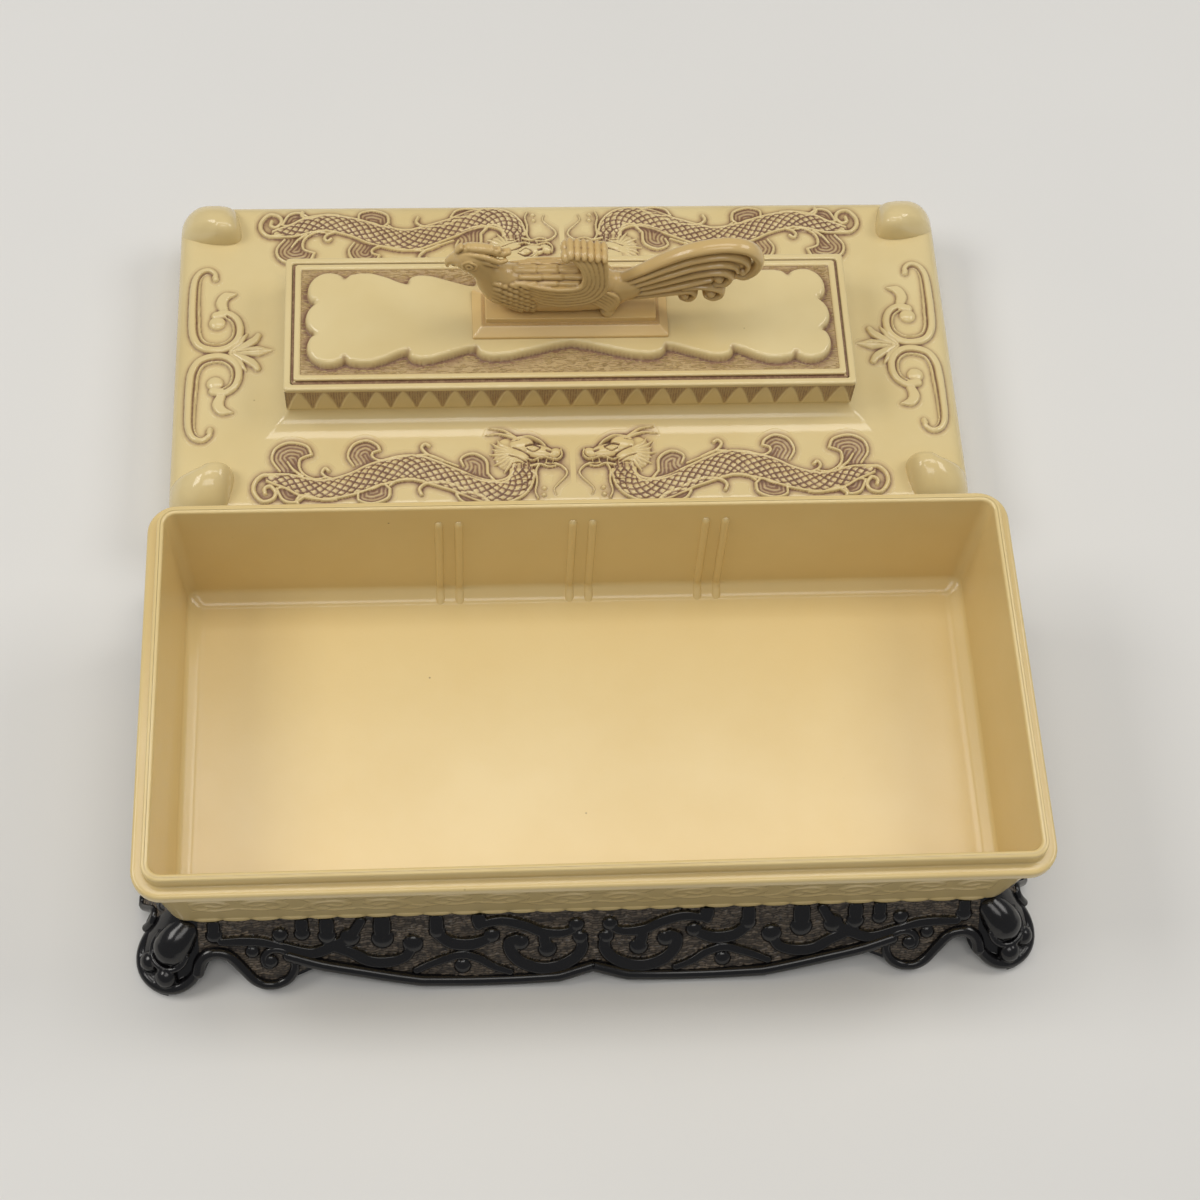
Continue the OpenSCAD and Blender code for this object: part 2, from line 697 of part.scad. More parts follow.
// Balls from the beak to the rump: place along the bird, height, radii along, across and up
body_balls = [
    [-37.4, 21.4, 0.6, 0.6, 0.9],
    [-35.6, 24.2, 2.2, 2, 2.4],
    [-31, 25, 4.8, 3.8, 4.8],
    [-26.2, 20.5, 4.6, 3.8, 5],
    [-22.8, 12.8, 5.9, 4.8, 6.5],
    [-13, 9.3, 9, 5.2, 9.8],
    [0, 9, 9, 5.4, 9.6],
    [10, 8.5, 6, 4.8, 7.5],
    [16, 9, 4, 3.8, 5.5]
];

// Balls along a wing: place along the bird, out from its middle, height, radius
wing_balls = [
    [-17, 5, 16, 2.2],
    [-7, 5.8, 14, 2.8],
    [2, 6, 14, 3],
    [7, 5.6, 18, 3],
    [7.5, 4.8, 24, 2.8],
    [4, 4.4, 28.5, 2.2],
    [0, 4.4, 29.5, 1.6]
];

// Stations of the tail's fan: place along the bird, height, half height, half breadth
fan_stations = [
    [13, 8.5, 5.5, 4.2],
    [20, 11, 5.6, 4.2],
    [27, 15, 6.4, 4.4],
    [34, 18.2, 8.4, 4.8],
    [41, 20.3, 10.4, 5],
    [47, 21.2, 10.6, 5],
    [52, 21.6, 8.6, 4.6],
    [55, 21.8, 5.2, 3.4]
];

// Plume that rolls over the fan's end: control points and radius
roll_curve = [[42, 29.5], [53, 34], [61.5, 24], [54.5, 15.5]];
roll_r = 2.5;

// Volutes under the fan's end: place along the bird, height, radius
volutes = [
    [52, 17.2, 3.2],
    [44.2, 14.5, 3.4],
    [42.8, 9.6, 3.2],
    [34.8, 8.6, 2.6]
];

module ball_chain(balls) {
    for (k = [0:len(balls) - 2])
        hull()
            for (b = [balls[k], balls[k + 1]])
                translate([b[0], b[1], b[2]]) scale([b[3], b[4], b[5]]) sphere(r = 1, $fn = 16);
}

// Oval across the bird's length: middle, direction along, half height and half breadth
function oval(here, along, up, across) = [
    for (i = [0:15])
        let (a = 360 * i / 16, n = [-along.y, along.x] / norm(along) * up * cos(a))
        [here.x + n.x, -across * sin(a), here.y + n.y]
];

module fan() {
    last = len(fan_stations) - 1;
    at = [for (s = fan_stations) [s[0], s[1]]];
    loft([
        for (k = [0:last])
            oval(at[k], at[min(k + 1, last)] - at[max(k - 1, 0)], fan_stations[k][2], fan_stations[k][3])
    ]);
}

module roll() {
    steps = 16;
    loft([
        for (k = [0:steps])
            let (t = k / steps)
            oval(
                bezier(roll_curve, t),
                bezier(roll_curve, t + 0.01) - bezier(roll_curve, t - 0.01),
                roll_r, roll_r * 1.6
            )
    ]);
}

module tail() {
    fan();
    roll();
    for (v = volutes)
        translate([v[0], 0, v[1]]) rotate([90, 0, 0]) cylinder(r = v[2], h = 9, center = true, $fn = 24);
}

module wing() {
    ball_chain([for (b = wing_balls) [b[0], b[1], b[2], b[3], b[3] * 0.66, b[3]]]);
}

module crest() {
    hull() {
        translate([-28, 0, 28.6]) sphere(r = 2.4, $fn = 20);
        translate([-19.6, 0, 28.4]) sphere(r = 1.2, $fn = 20);
    }
}

module bird() {
    color(tan) translate([0, lid_y, bird_z]) difference() {
        scale([bird_l / figure[0], bird_w / figure[1], bird_h / figure[2]]) difference() {
            union() {
                ball_chain([for (b = body_balls) [b[0], 0, b[1], b[2], b[3], b[4]]]);
                wing();
                mirror([0, 1, 0]) wing();
                crest();
                tail();
            }
            translate([0, 0, -20]) cube([2 * figure[0], 2 * figure[1], 40], center = true);
        }
        translate([0, 0, -1]) cylinder(r = stud_r + stud_clear, h = 1 + stud_in_bird + stud_clear);
    }
}

module handle_stud() {
    seat_z = crown_under_z - washer_t;
    low_z = pin_z - pin_r - collar_wall;
    color(steel) translate([0, lid_y, 0]) difference() {
        translate([0, 0, low_z]) {
            cylinder(r = collar_r, h = seat_z - low_z);
            cylinder(r = stud_r, h = bird_z + stud_in_bird - low_z);
        }
        translate([-collar_r - 1, 0, pin_z]) rotate([0, 90, 0])
            cylinder(r = pin_r + pin_clear, h = 2 * collar_r + 2);
    }
}

module handle_washer() {
    color(steel) translate([0, lid_y, crown_under_z - washer_t]) difference() {
        cylinder(r = washer_r, h = washer_t);
        translate([0, 0, -1]) cylinder(r = stud_r + stud_clear, h = washer_t + 2);
    }
}

module handle_pin() {
    color(steel) translate([-pin_l / 2, lid_y, pin_z]) rotate([0, 90, 0]) cylinder(r = pin_r, h = pin_l);
}

stand();
tray();
stand_screws();
lid_shell();
cartouche_panel();
plinth();
bird();
handle_stud();
handle_washer();
handle_pin();
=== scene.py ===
"""Looks of a trinket box: a cream moulded tray on a black stand, and its lid with a bird handle lying behind it.

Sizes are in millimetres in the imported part's frame until a mesh is made. Each sub-assembly is a class that builds its
meshes and dresses them; carved relief is drawn on height fields, rounded figures are sampled distance fields, and what
repeats or follows a path is grown by Geometry Nodes.
"""

import json
import logging
import math
from collections.abc import Callable, Iterable, Sequence
from dataclasses import dataclass, field
from enum import Enum

import bpy
import numpy as np
from mathutils import Matrix

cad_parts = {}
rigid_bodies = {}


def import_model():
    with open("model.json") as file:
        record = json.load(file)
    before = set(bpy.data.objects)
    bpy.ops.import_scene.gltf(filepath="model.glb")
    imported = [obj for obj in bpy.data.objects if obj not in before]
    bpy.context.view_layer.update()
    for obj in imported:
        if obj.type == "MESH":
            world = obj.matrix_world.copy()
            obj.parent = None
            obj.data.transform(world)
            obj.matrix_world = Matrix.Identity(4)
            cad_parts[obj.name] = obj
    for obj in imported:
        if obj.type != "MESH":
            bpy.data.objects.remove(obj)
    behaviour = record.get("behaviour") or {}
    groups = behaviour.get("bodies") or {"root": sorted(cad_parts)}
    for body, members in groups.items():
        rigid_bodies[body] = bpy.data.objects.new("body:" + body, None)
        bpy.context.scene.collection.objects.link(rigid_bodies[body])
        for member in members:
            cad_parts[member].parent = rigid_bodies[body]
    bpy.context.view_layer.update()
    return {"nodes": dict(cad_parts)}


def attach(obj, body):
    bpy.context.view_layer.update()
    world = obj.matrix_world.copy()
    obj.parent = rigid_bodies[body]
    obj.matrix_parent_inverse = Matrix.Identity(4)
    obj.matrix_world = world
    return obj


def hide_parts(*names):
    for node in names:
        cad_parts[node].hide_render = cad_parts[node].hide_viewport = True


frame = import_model()

logging.basicConfig(level=logging.INFO, format="%(message)s")
LOG = logging.getLogger("trinket_box")

MM = 0.001
BOX_Y = -62.5
LID_Y = 71.4
Array = np.ndarray
Points = Sequence[Sequence[float]]
Socket = bpy.types.NodeSocket


class Slot(Enum):
    """Material slots of the record that pieces take their finish from."""

    IVORY = "ivory"
    TAN = "tan"
    EBONY = "ebony"


class Body(Enum):
    """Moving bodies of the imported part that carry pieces."""

    BOX = "box"
    LID = "lid"


class Part(Enum):
    """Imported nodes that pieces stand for: name, slot, body and how far back their middle lies."""

    TRAY = ("tray", Slot.IVORY, Body.BOX, BOX_Y)
    STAND = ("stand", Slot.EBONY, Body.BOX, BOX_Y)
    SHELL = ("lid_shell", Slot.IVORY, Body.LID, LID_Y)
    PANEL = ("cartouche_panel", Slot.IVORY, Body.LID, LID_Y)
    PLINTH = ("plinth", Slot.TAN, Body.LID, LID_Y)
    BIRD = ("bird", Slot.TAN, Body.LID, LID_Y)


# ---- meshes


@dataclass
class Draft:
    """Points, faces and a stain value for each point, in millimetres."""

    points: Array
    quads: Array = field(default_factory=lambda: np.zeros((0, 4), int))
    tris: Array = field(default_factory=lambda: np.zeros((0, 3), int))
    stain: Array | None = None

    def __post_init__(self) -> None:
        """Gives a draft without stain a clean one."""
        if self.stain is None:
            self.stain = np.zeros(len(self.points))

    @staticmethod
    def joined(parts: Iterable["Draft"]) -> "Draft":
        """Puts several drafts into one.

        Args:
            parts: The drafts, which stay as they are.
        Returns:
            One draft with all points and faces.
        """
        parts = list(parts)
        starts = np.cumsum([0] + [len(p.points) for p in parts[:-1]])
        return Draft(
            np.vstack([p.points for p in parts]),
            np.vstack([p.quads + s for p, s in zip(parts, starts)]),
            np.vstack([p.tris + s for p, s in zip(parts, starts)]),
            np.concatenate([p.stain for p in parts]),
        )

    @staticmethod
    def from_mesh(mesh: bpy.types.Mesh) -> "Draft":
        """Reads a mesh of triangles and quads, with its stain attribute, back into a draft.

        Args:
            mesh: A mesh in metres.
        Returns:
            The same shape in millimetres.
        """
        points = np.zeros(len(mesh.vertices) * 3, np.float32)
        mesh.vertices.foreach_get("co", points)
        loops = np.zeros(len(mesh.loops), np.int32)
        mesh.loops.foreach_get("vertex_index", loops)
        starts, totals = (np.zeros(len(mesh.polygons), np.int32) for _ in range(2))
        mesh.polygons.foreach_get("loop_start", starts)
        mesh.polygons.foreach_get("loop_total", totals)
        fours, threes = starts[totals == 4], starts[totals == 3]
        fans = [loops[[s, s + k, s + k + 1]] for s, n in zip(starts, totals) if n > 4 for k in range(1, n - 1)]
        tris = np.vstack([loops[threes[:, None] + np.arange(3)], np.array(fans, int).reshape(-1, 3)])
        stain = np.zeros(len(mesh.vertices), np.float32)
        if "stain" in mesh.attributes:
            mesh.attributes["stain"].data.foreach_get("value", stain)
        return Draft(points.reshape(-1, 3) / MM, loops[fours[:, None] + np.arange(4)], tris, stain.astype(float))

    def moved(self, x: float = 0.0, y: float = 0.0, z: float = 0.0) -> "Draft":
        """Returns a copy shifted by x, y and z."""
        return Draft(self.points + np.array([x, y, z]), self.quads, self.tris, self.stain)

    def mirrored(self, x: int = 1, y: int = 1) -> "Draft":
        """Returns a copy mirrored where x or y is -1, with its faces still pointing outwards."""
        flip = -1 if x * y < 0 else 1
        return Draft(self.points * np.array([x, y, 1]), self.quads[:, ::flip], self.tris[:, ::flip], self.stain)

    def four_quarters(self) -> "Draft":
        """Returns the draft mirrored into all four quarters."""
        return Draft.joined(self.mirrored(x, y) for x in (1, -1) for y in (1, -1))

    def to_mesh(self, name: str, sharp: float = 40.0) -> bpy.types.Mesh:
        """Makes a smooth-shaded mesh in metres of the points that faces use.

        Args:
            name: Name of the mesh.
            sharp: Edges that turn by more than this many degrees stay sharp.
        Returns:
            The mesh, with the stain as a point attribute.
        """
        used, loops = np.unique(np.concatenate([self.quads.ravel(), self.tris.ravel()]), return_inverse=True)
        mesh = bpy.data.meshes.new(name)
        mesh.vertices.add(len(used))
        mesh.vertices.foreach_set("co", (self.points[used] * MM).astype(np.float32).ravel())
        mesh.loops.add(len(loops))
        mesh.loops.foreach_set("vertex_index", loops.astype(np.int32))
        four = 4 * len(self.quads)
        starts = np.concatenate([np.arange(0, four, 4), four + np.arange(0, 3 * len(self.tris), 3)])
        mesh.polygons.add(len(starts))
        mesh.polygons.foreach_set("loop_start", starts.astype(np.int32))
        mesh.polygons.foreach_set("use_smooth", np.ones(len(starts), bool))
        mesh.update(calc_edges=True)
        mesh.validate()
        mesh.set_sharp_from_angle(angle=math.radians(sharp))
        stain = mesh.attributes.new("stain", "FLOAT", "POINT")
        stain.data.foreach_set("value", self.stain[used].astype(np.float32))
        return mesh

    def to_piece(self, name: str, finish: bpy.types.Material, part: Part, sharp: float) -> None:
        """Makes a finished piece, at the origin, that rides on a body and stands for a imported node.

        Args:
            name: Name of the piece.
            finish: Its material.
            part: The node that it stands for.
            sharp: Edges that turn by more than this many degrees stay sharp.
        """
        node, slot, body, y = part.value
        mesh = self.moved(y=y).to_mesh(name, sharp)
        mesh.materials.append(finish)
        piece = bpy.data.objects.new(name, mesh)
        bpy.context.scene.collection.objects.link(piece)
        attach(piece, body.value)
        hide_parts(node)
        LOG.info("%s: %d points, %d faces", name, len(self.points), len(self.quads) + len(self.tris))


def sheet_quads(rows: int, columns: int) -> Array:
    """Returns the faces of a sheet of points given row by row."""
    grid = np.arange(rows * columns).reshape(rows, columns)
    return np.stack([grid[:-1, :-1], grid[1:, :-1], grid[1:, 1:], grid[:-1, 1:]], -1).reshape(-1, 4)


def ring(hx: float, hy: float, r: float, z: float, corner: int = 8, along: tuple[int, int] = (1, 1)) -> Array:
    """Points of a rounded rectangle, anticlockwise from the +X side.

    Args:
        hx, hy: Half length and half depth.
        r: Corner radius.
        z: Height.
        corner: Steps round a corner.
        along: Steps along a long and an end side.
    Returns:
        An array of points.
    """
    out = []
    for c in range(4):
        sx, sy = (1, -1, -1, 1)[c], (1, 1, -1, -1)[c]
        for k in range(corner + 1):
            a = math.pi / 2 * (c + k / corner)
            out.append((sx * (hx - r) + r * math.cos(a), sy * (hy - r) + r * math.sin(a), z))
        steps = along[c % 2]
        nx, ny = (-1, -1, 1, 1)[c], (1, -1, -1, 1)[c]
        a = math.pi / 2 * (c + 1)
        start = np.array(out[-1])
        end = np.array((nx * (hx - r) + r * math.cos(a), ny * (hy - r) + r * math.sin(a), z))
        out += [tuple(start + (end - start) * k / steps) for k in range(1, steps)]
    return np.array(out)


def loft(rings: Sequence[Array], caps: tuple[bool, bool] = (True, True)) -> Draft:
    """Skins rings that have the same number of points, going up the outside.

    Args:
        rings: The rings in order.
        caps: Whether the first and the last ring are closed.
    Returns:
        The skin.
    """
    n = len(rings[0])
    i = np.arange(n)
    j = (i + 1) % n
    quads = np.vstack([np.stack([i, j, j + n, i + n], 1) + k * n for k in range(len(rings) - 1)])
    points, tris = list(rings), []
    for at, wanted in ((0, caps[0]), (len(rings) - 1, caps[1])):
        if wanted:
            centre = np.full(n, n * len(rings) + len(points) - len(rings))
            points.append(rings[at].mean(0)[None])
            fan = np.stack([i + at * n, j + at * n, centre], 1)
            tris.append(fan if at else fan[:, ::-1])
    return Draft(np.vstack(points), quads, np.vstack(tris) if tris else np.zeros((0, 3), int))


def rounded_path(corners: Points, radii: Sequence[float], steps: int = 4) -> Array:
    """Rounds the corners of a section through a moulding.

    Args:
        corners: Half length, half depth, corner radius and height of each corner of the section.
        radii: How far from each corner the rounding starts.
        steps: Steps in each rounding.
    Returns:
        The rounded section, with a support point beside each rounding so that flat faces stay flat.
    """
    c = np.array(corners, float)
    out = [c[0]]
    for k in range(1, len(c) - 1):
        rho = radii[k]
        back, on = c[k - 1] - c[k], c[k + 1] - c[k]
        reach = [max(np.linalg.norm(v[[0, 3]]), np.linalg.norm(v[[1, 3]])) for v in (back, on)]
        if rho <= 0:
            out.append(c[k])
            continue
        a, b = c[k] + back * rho / reach[0], c[k] + on * rho / reach[1]
        hold = min(0.4 * rho, (reach[0] - rho) / 3), min(0.4 * rho, (reach[1] - rho) / 3)
        out.append(a + back * hold[0] / reach[0])
        for t in np.linspace(0, 1, steps + 1):
            out.append((1 - t) ** 2 * a + 2 * t * (1 - t) * c[k] + t * t * b)
        out.append(b + on * hold[1] / reach[1])
    return np.array([*out, c[-1]])


def moulding(corners: Points, radii: Sequence[float], steps: int = 4, corner: int = 8) -> Draft:
    """Builds a closed moulding from a section whose corners are rounded as rounded_path says."""
    return loft([ring(*p, corner) for p in rounded_path(corners, radii, steps)])


def curve(points: Points, step: float = 0.2, dims: int = 2) -> Array:
    """Samples a smooth curve through points at even spacing.

    Args:
        points: Points to pass through; columns after the first dims are carried along.
        step: Spacing of the samples.
        dims: Columns that count as place.
    Returns:
        The samples.
    """
    p = np.asarray(points, float)
    q = np.vstack([2 * p[0] - p[1], p, 2 * p[-1] - p[-2]])
    t = np.linspace(0, 1, 16, endpoint=False)[:, None]
    parts = []
    for a, b, c, d in zip(q[:-3], q[1:-2], q[2:-1], q[3:]):
        parts.append(0.5 * (2 * b + (c - a) * t + (2 * a - 5 * b + 4 * c - d) * t**2 + (3 * b - a - 3 * c + d) * t**3))
    dense = np.vstack([*parts, p[-1:]])
    s = np.concatenate([[0], np.cumsum(np.linalg.norm(np.diff(dense[:, :dims], axis=0), axis=1))])
    at = np.linspace(0, s[-1], max(int(s[-1] / step), 2) + 1)
    return np.stack([np.interp(at, s, dense[:, k]) for k in range(p.shape[1])], 1)


def finer(outline: Array) -> Array:
    """Returns a closed outline with each of its edges cut into six."""
    return np.vstack([np.linspace(a, b, 6, endpoint=False) for a, b in zip(outline, np.roll(outline, -1, axis=0))])


def left_of(path: Array) -> Array:
    """Returns the unit vectors that point to the left of a path."""
    along = np.gradient(path[:, :2], axis=0)
    along /= np.linalg.norm(along, axis=1)[:, None]
    return np.stack([-along[:, 1], along[:, 0]], 1)


def blur(values: Array, cells: float) -> Array:
    """Softens a grid by about a number of cells, with three running means each way."""
    width = max(int(cells), 1)
    for _ in range(3):
        for axis in (0, 1):
            pad = [(0, 0), (0, 0)]
            pad[axis] = (width + 1, width)
            total = np.cumsum(np.pad(values, pad, mode="edge"), axis=axis)
            ahead = np.take(total, range(2 * width + 1, total.shape[axis]), axis=axis)
            behind = np.take(total, range(0, total.shape[axis] - 2 * width - 1), axis=axis)
            values = (ahead - behind) / (2 * width + 1)
    return values


def ease(t: Array) -> Array:
    """Smooth rise from 0 to 1."""
    t = np.clip(t, 0, 1)
    return t * t * (3 - 2 * t)


class Relief:
    """Carving drawn as heights, in millimetres, on a square grid."""

    def __init__(self, low: Sequence[float], high: Sequence[float], cell: float) -> None:
        """Starts with a flat ground.

        Args:
            low, high: Corners of the grid.
            cell: Its spacing.
        """
        self.cell = cell
        self.x = np.arange(low[0], high[0] + cell / 2, cell)
        self.y = np.arange(low[1], high[1] + cell / 2, cell)
        self.h = np.zeros((len(self.y), len(self.x)))
        self.wash = np.zeros_like(self.h)

    def grid(self) -> tuple[Array, Array]:
        """Returns the grid's x and y."""
        return np.meshgrid(self.x, self.y)

    def window(self, path: Array, reach: float) -> tuple[slice, slice]:
        """Returns the slices of the grid that lie within reach of a path."""
        return tuple(
            slice(np.searchsorted(axis, path[:, k].min() - reach), np.searchsorted(axis, path[:, k].max() + reach))
            for k, axis in ((1, self.y), (0, self.x))
        )

    def near(self, path: Array, reach: float) -> tuple[tuple[slice, slice], Array, Array, Array]:
        """Finds the nearest sample of a path for each cell around it.

        Args:
            path: Samples of a curve.
            reach: How far from it cells are looked at.
        Returns:
            The window of the grid, and in it the distance, the sample's number and the signed distance to the left.
        """
        win = self.window(path, reach)
        xs, ys = self.x[win[1]], self.y[win[0]]
        best = np.full((len(ys), len(xs)), 1e6)
        at = np.zeros(best.shape, int)
        for k in range(0, len(path), 20):
            part = path[k : k + 20]
            sx = slice(np.searchsorted(xs, part[:, 0].min() - reach), np.searchsorted(xs, part[:, 0].max() + reach))
            sy = slice(np.searchsorted(ys, part[:, 1].min() - reach), np.searchsorted(ys, part[:, 1].max() + reach))
            gap = (xs[sx][None, :, None] - part[:, 0]) ** 2 + (ys[sy][:, None, None] - part[:, 1]) ** 2
            if gap.size == 0:
                continue
            j = gap.argmin(2)
            least = np.take_along_axis(gap, j[..., None], 2)[..., 0]
            closer = least < best[sy, sx]
            best[sy, sx][closer] = least[closer]
            at[sy, sx][closer] = (j + k)[closer]
        along = np.gradient(path[:, :2], axis=0)
        along /= np.linalg.norm(along, axis=1)[:, None] + 1e-9
        ox = xs[None, :] - path[at, 0]
        oy = ys[:, None] - path[at, 1]
        return win, np.sqrt(best), at, along[at, 0] * oy - along[at, 1] * ox

    def lift(self, win: tuple[slice, slice], values: Array) -> None:
        """Raises the ground in a window to the given heights."""
        self.h[win] = np.maximum(self.h[win], values)

    def cord(
        self, points: Points, width: float, height: float, ends: Sequence[float] = (1.0, 1.0), flat: float = 0.0
    ) -> None:
        """Draws a raised stroke, wiped clean.

        Args:
            points: Points that it passes through.
            width, height: Its size across.
            ends: Its width as shares, spaced evenly from start to end.
            flat: Width of a rounded edge round a flat top; 0 makes a round back.
        """
        path = curve(points)
        share = np.interp(np.linspace(0, 1, len(path)), np.linspace(0, 1, len(ends)), ends)
        half = width / 2 * share
        win, d, at, _ = self.near(path, width / 2 * max(share) + self.cell)
        if flat:
            top = height * np.sqrt(np.clip(1 - np.clip(1 - (half[at] - d) / flat, 0, 1) ** 2, 0, 1))
        else:
            top = height * np.sqrt(share[at]) * np.sqrt(np.clip(1 - (d / half[at]) ** 2, 0, 1))
        self.lift(win, np.where(d < half[at], top, 0))
        self.wash[win][d < half[at] - 0.1] = 0

    def groove(self, points: Points, width: float, depth: float, ends: Sequence[float] = (1.0, 1.0)) -> None:
        """Cuts a stroke into what is raised already, tapering as ends says."""
        path = curve(points)
        share = np.interp(np.linspace(0, 1, len(path)), np.linspace(0, 1, len(ends)), ends)
        win, d, at, _ = self.near(path, width / 2 + self.cell)
        cut = depth * np.clip(1 - (2 * d / (width * share[at])) ** 2, 0, 1)
        self.h[win] = np.maximum(self.h[win] - cut, np.minimum(self.h[win], 0.04))

    def dome(
        self, at: Sequence[float], size: Sequence[float], height: float, turn: float = 0.0, base: float = 0.0
    ) -> None:
        """Draws a raised oval, wiped clean.

        Args:
            at: Its middle.
            size: Its half length and half width.
            height: Its height.
            turn: Its direction in degrees.
            base: Height that it starts from.
        """
        win = self.window(np.array([at], float), max(size))
        gx, gy = self.x[win[1]][None, :] - at[0], self.y[win[0]][:, None] - at[1]
        c, s = math.cos(math.radians(turn)), math.sin(math.radians(turn))
        q = ((gx * c + gy * s) / size[0]) ** 2 + ((gy * c - gx * s) / size[1]) ** 2
        self.lift(win, np.where(q < 1, base + height * np.sqrt(np.clip(1 - q, 0, 1)), 0))
        self.wash[win][q < 0.9] = 0

    def inside(self, outline: Array) -> tuple[tuple[slice, slice], Array]:
        """Returns a window and the cells in it that a closed outline holds."""
        win = self.window(outline, self.cell)
        xs, ys = self.x[win[1]][None, :], self.y[win[0]][:, None]
        held = np.zeros((ys.shape[0], xs.shape[1]), bool)
        for (ax, ay), (bx, by) in zip(outline[:, :2], np.roll(outline[:, :2], -1, axis=0)):
            if ay != by:
                held ^= ((ay > ys) != (by > ys)) & (xs < ax + (ys - ay) * (bx - ax) / (by - ay))
        return win, held

    def fan(self, outer: Points, inner: Points, height: float, pitch: float, cords: float = 1.3) -> None:
        """Draws a curled fin: a brown hollow, darker the farther it lies from the outer edge, with faint ridges and a
        pale cord along both edges.

        Args:
            outer, inner: The two edges, from the root round the curl and back.
            height: Height of the ridges.
            pitch: Distance between ridges.
            cords: Width of the edge cords.
        """
        out, back = curve(outer), curve(inner)
        win, held = self.inside(np.vstack([out, back]))
        near_win, d, _, _ = self.near(out, max(np.ptp(out[:, 0]), np.ptp(out[:, 1])))
        full = np.full(self.h.shape, 99.0)
        full[near_win] = d
        ridge = 0.5 - 0.5 * np.cos(2 * np.pi * (full[win] - cords / 2) / pitch)
        self.lift(win, np.where(held, height * (0.5 + 0.3 * ridge), 0))
        self.wash[win] = np.where(held, np.clip(0.34 + 0.06 * full[win], 0, 0.56) - 0.14 * ridge, self.wash[win])
        self.cord(outer, cords, 1.1, ends=(0.7, 1.0, 0.9))
        self.cord(inner, cords * 0.9, 1.05, ends=(0.9, 0.9, 0.6))

    def scales(self, spine: Array, height: float, long: float, wide: float) -> None:
        """Draws a round body covered with rounded lozenge scales whose free ends point to the path's start.

        Args:
            spine: Samples of the body's middle line, with its half width as third column.
            height: Height of the body.
            long, wide: Length and width of a scale.
        """
        win, d, at, side = self.near(spine, spine[:, 2].max() + self.cell)
        s = at * np.linalg.norm(spine[1, :2] - spine[0, :2])
        half = spine[at, 2]
        across = np.arcsin(np.clip(side / half, -1, 1)) * half
        first, second = s / long + across / wide, s / long - across / wide
        u, v = np.mod(first, 1) - 0.5, np.mod(second, 1) - 0.5
        tone = np.mod(np.sin(np.floor(first) * 12.99 + np.floor(second) * 78.23) * 437.58, 1)
        body = height * np.sqrt(np.clip(1 - (d / half) ** 2, 0, 1)) * np.clip(half / 3.6, 0.5, 1)
        body += 0.55 * (0.5 - 0.5 * (u + v)) * (1 - 0.7 * (u - v) ** 2) * np.clip((half - d) / 0.5, 0, 1)
        edge = np.log(np.exp(7 * u) + np.exp(7 * v)) / 7
        mark = 0.1 + 0.12 * tone + (0.42 + 0.2 * tone) * ease((edge - 0.04) / 0.32)
        self.lift(win, np.where(d < half, body, 0))
        self.wash[win] = np.where(d < half, np.maximum(mark, self.wash[win]), self.wash[win])

    def stain(self, spread: float, gain: float) -> Array:
        """Finds where stain stays after wiping: in grooves and along the foot of what is raised.

        Args:
            spread: How far the wiping reaches into hollows.
            gain: How dark a hollow of one millimetre is.
        Returns:
            Stain from 0 to 1 for each cell.
        """
        wide = blur(self.h, spread / self.cell) - self.h
        fine = blur(self.h, 0.45 * spread / self.cell) - self.h
        return np.clip(gain * np.maximum(wide, 1.3 * fine) + self.wash, 0, 1)

    def mesh(self, place: Callable[[Array, Array, Array], Array], stain: Array, everywhere: bool = False) -> Draft:
        """Makes a skin of what is raised or stained, with its border sunk into what carries it.

        Args:
            place: Gives the point for each x, y and height.
            stain: Stain for each cell.
            everywhere: Keeps the whole grid.
        Returns:
            The skin.
        """
        marked = (self.h > 0.03) | (stain > 0.05)
        keep = np.ones(self.h.shape, bool) if everywhere else blur(marked.astype(float), 1) > 0.01
        cells = keep[:-1, :-1] & keep[1:, :-1] & keep[:-1, 1:] & keep[1:, 1:]
        near = np.pad(cells, 1).astype(int)
        count = near[:-1, :-1] + near[1:, :-1] + near[:-1, 1:] + near[1:, 1:]
        used = count > 0
        gx, gy = self.grid()
        height = np.where(count == 4, self.h + 0.03, -0.35)
        number = np.full(used.shape, -1)
        number[used] = np.arange(used.sum())
        corners = (number[:-1, :-1], number[:-1, 1:], number[1:, 1:], number[1:, :-1])
        quads = np.stack([corner[cells] for corner in corners], 1)
        return Draft(place(gx[used], gy[used], height[used]), quads, stain=np.where(count == 4, stain, 0)[used])


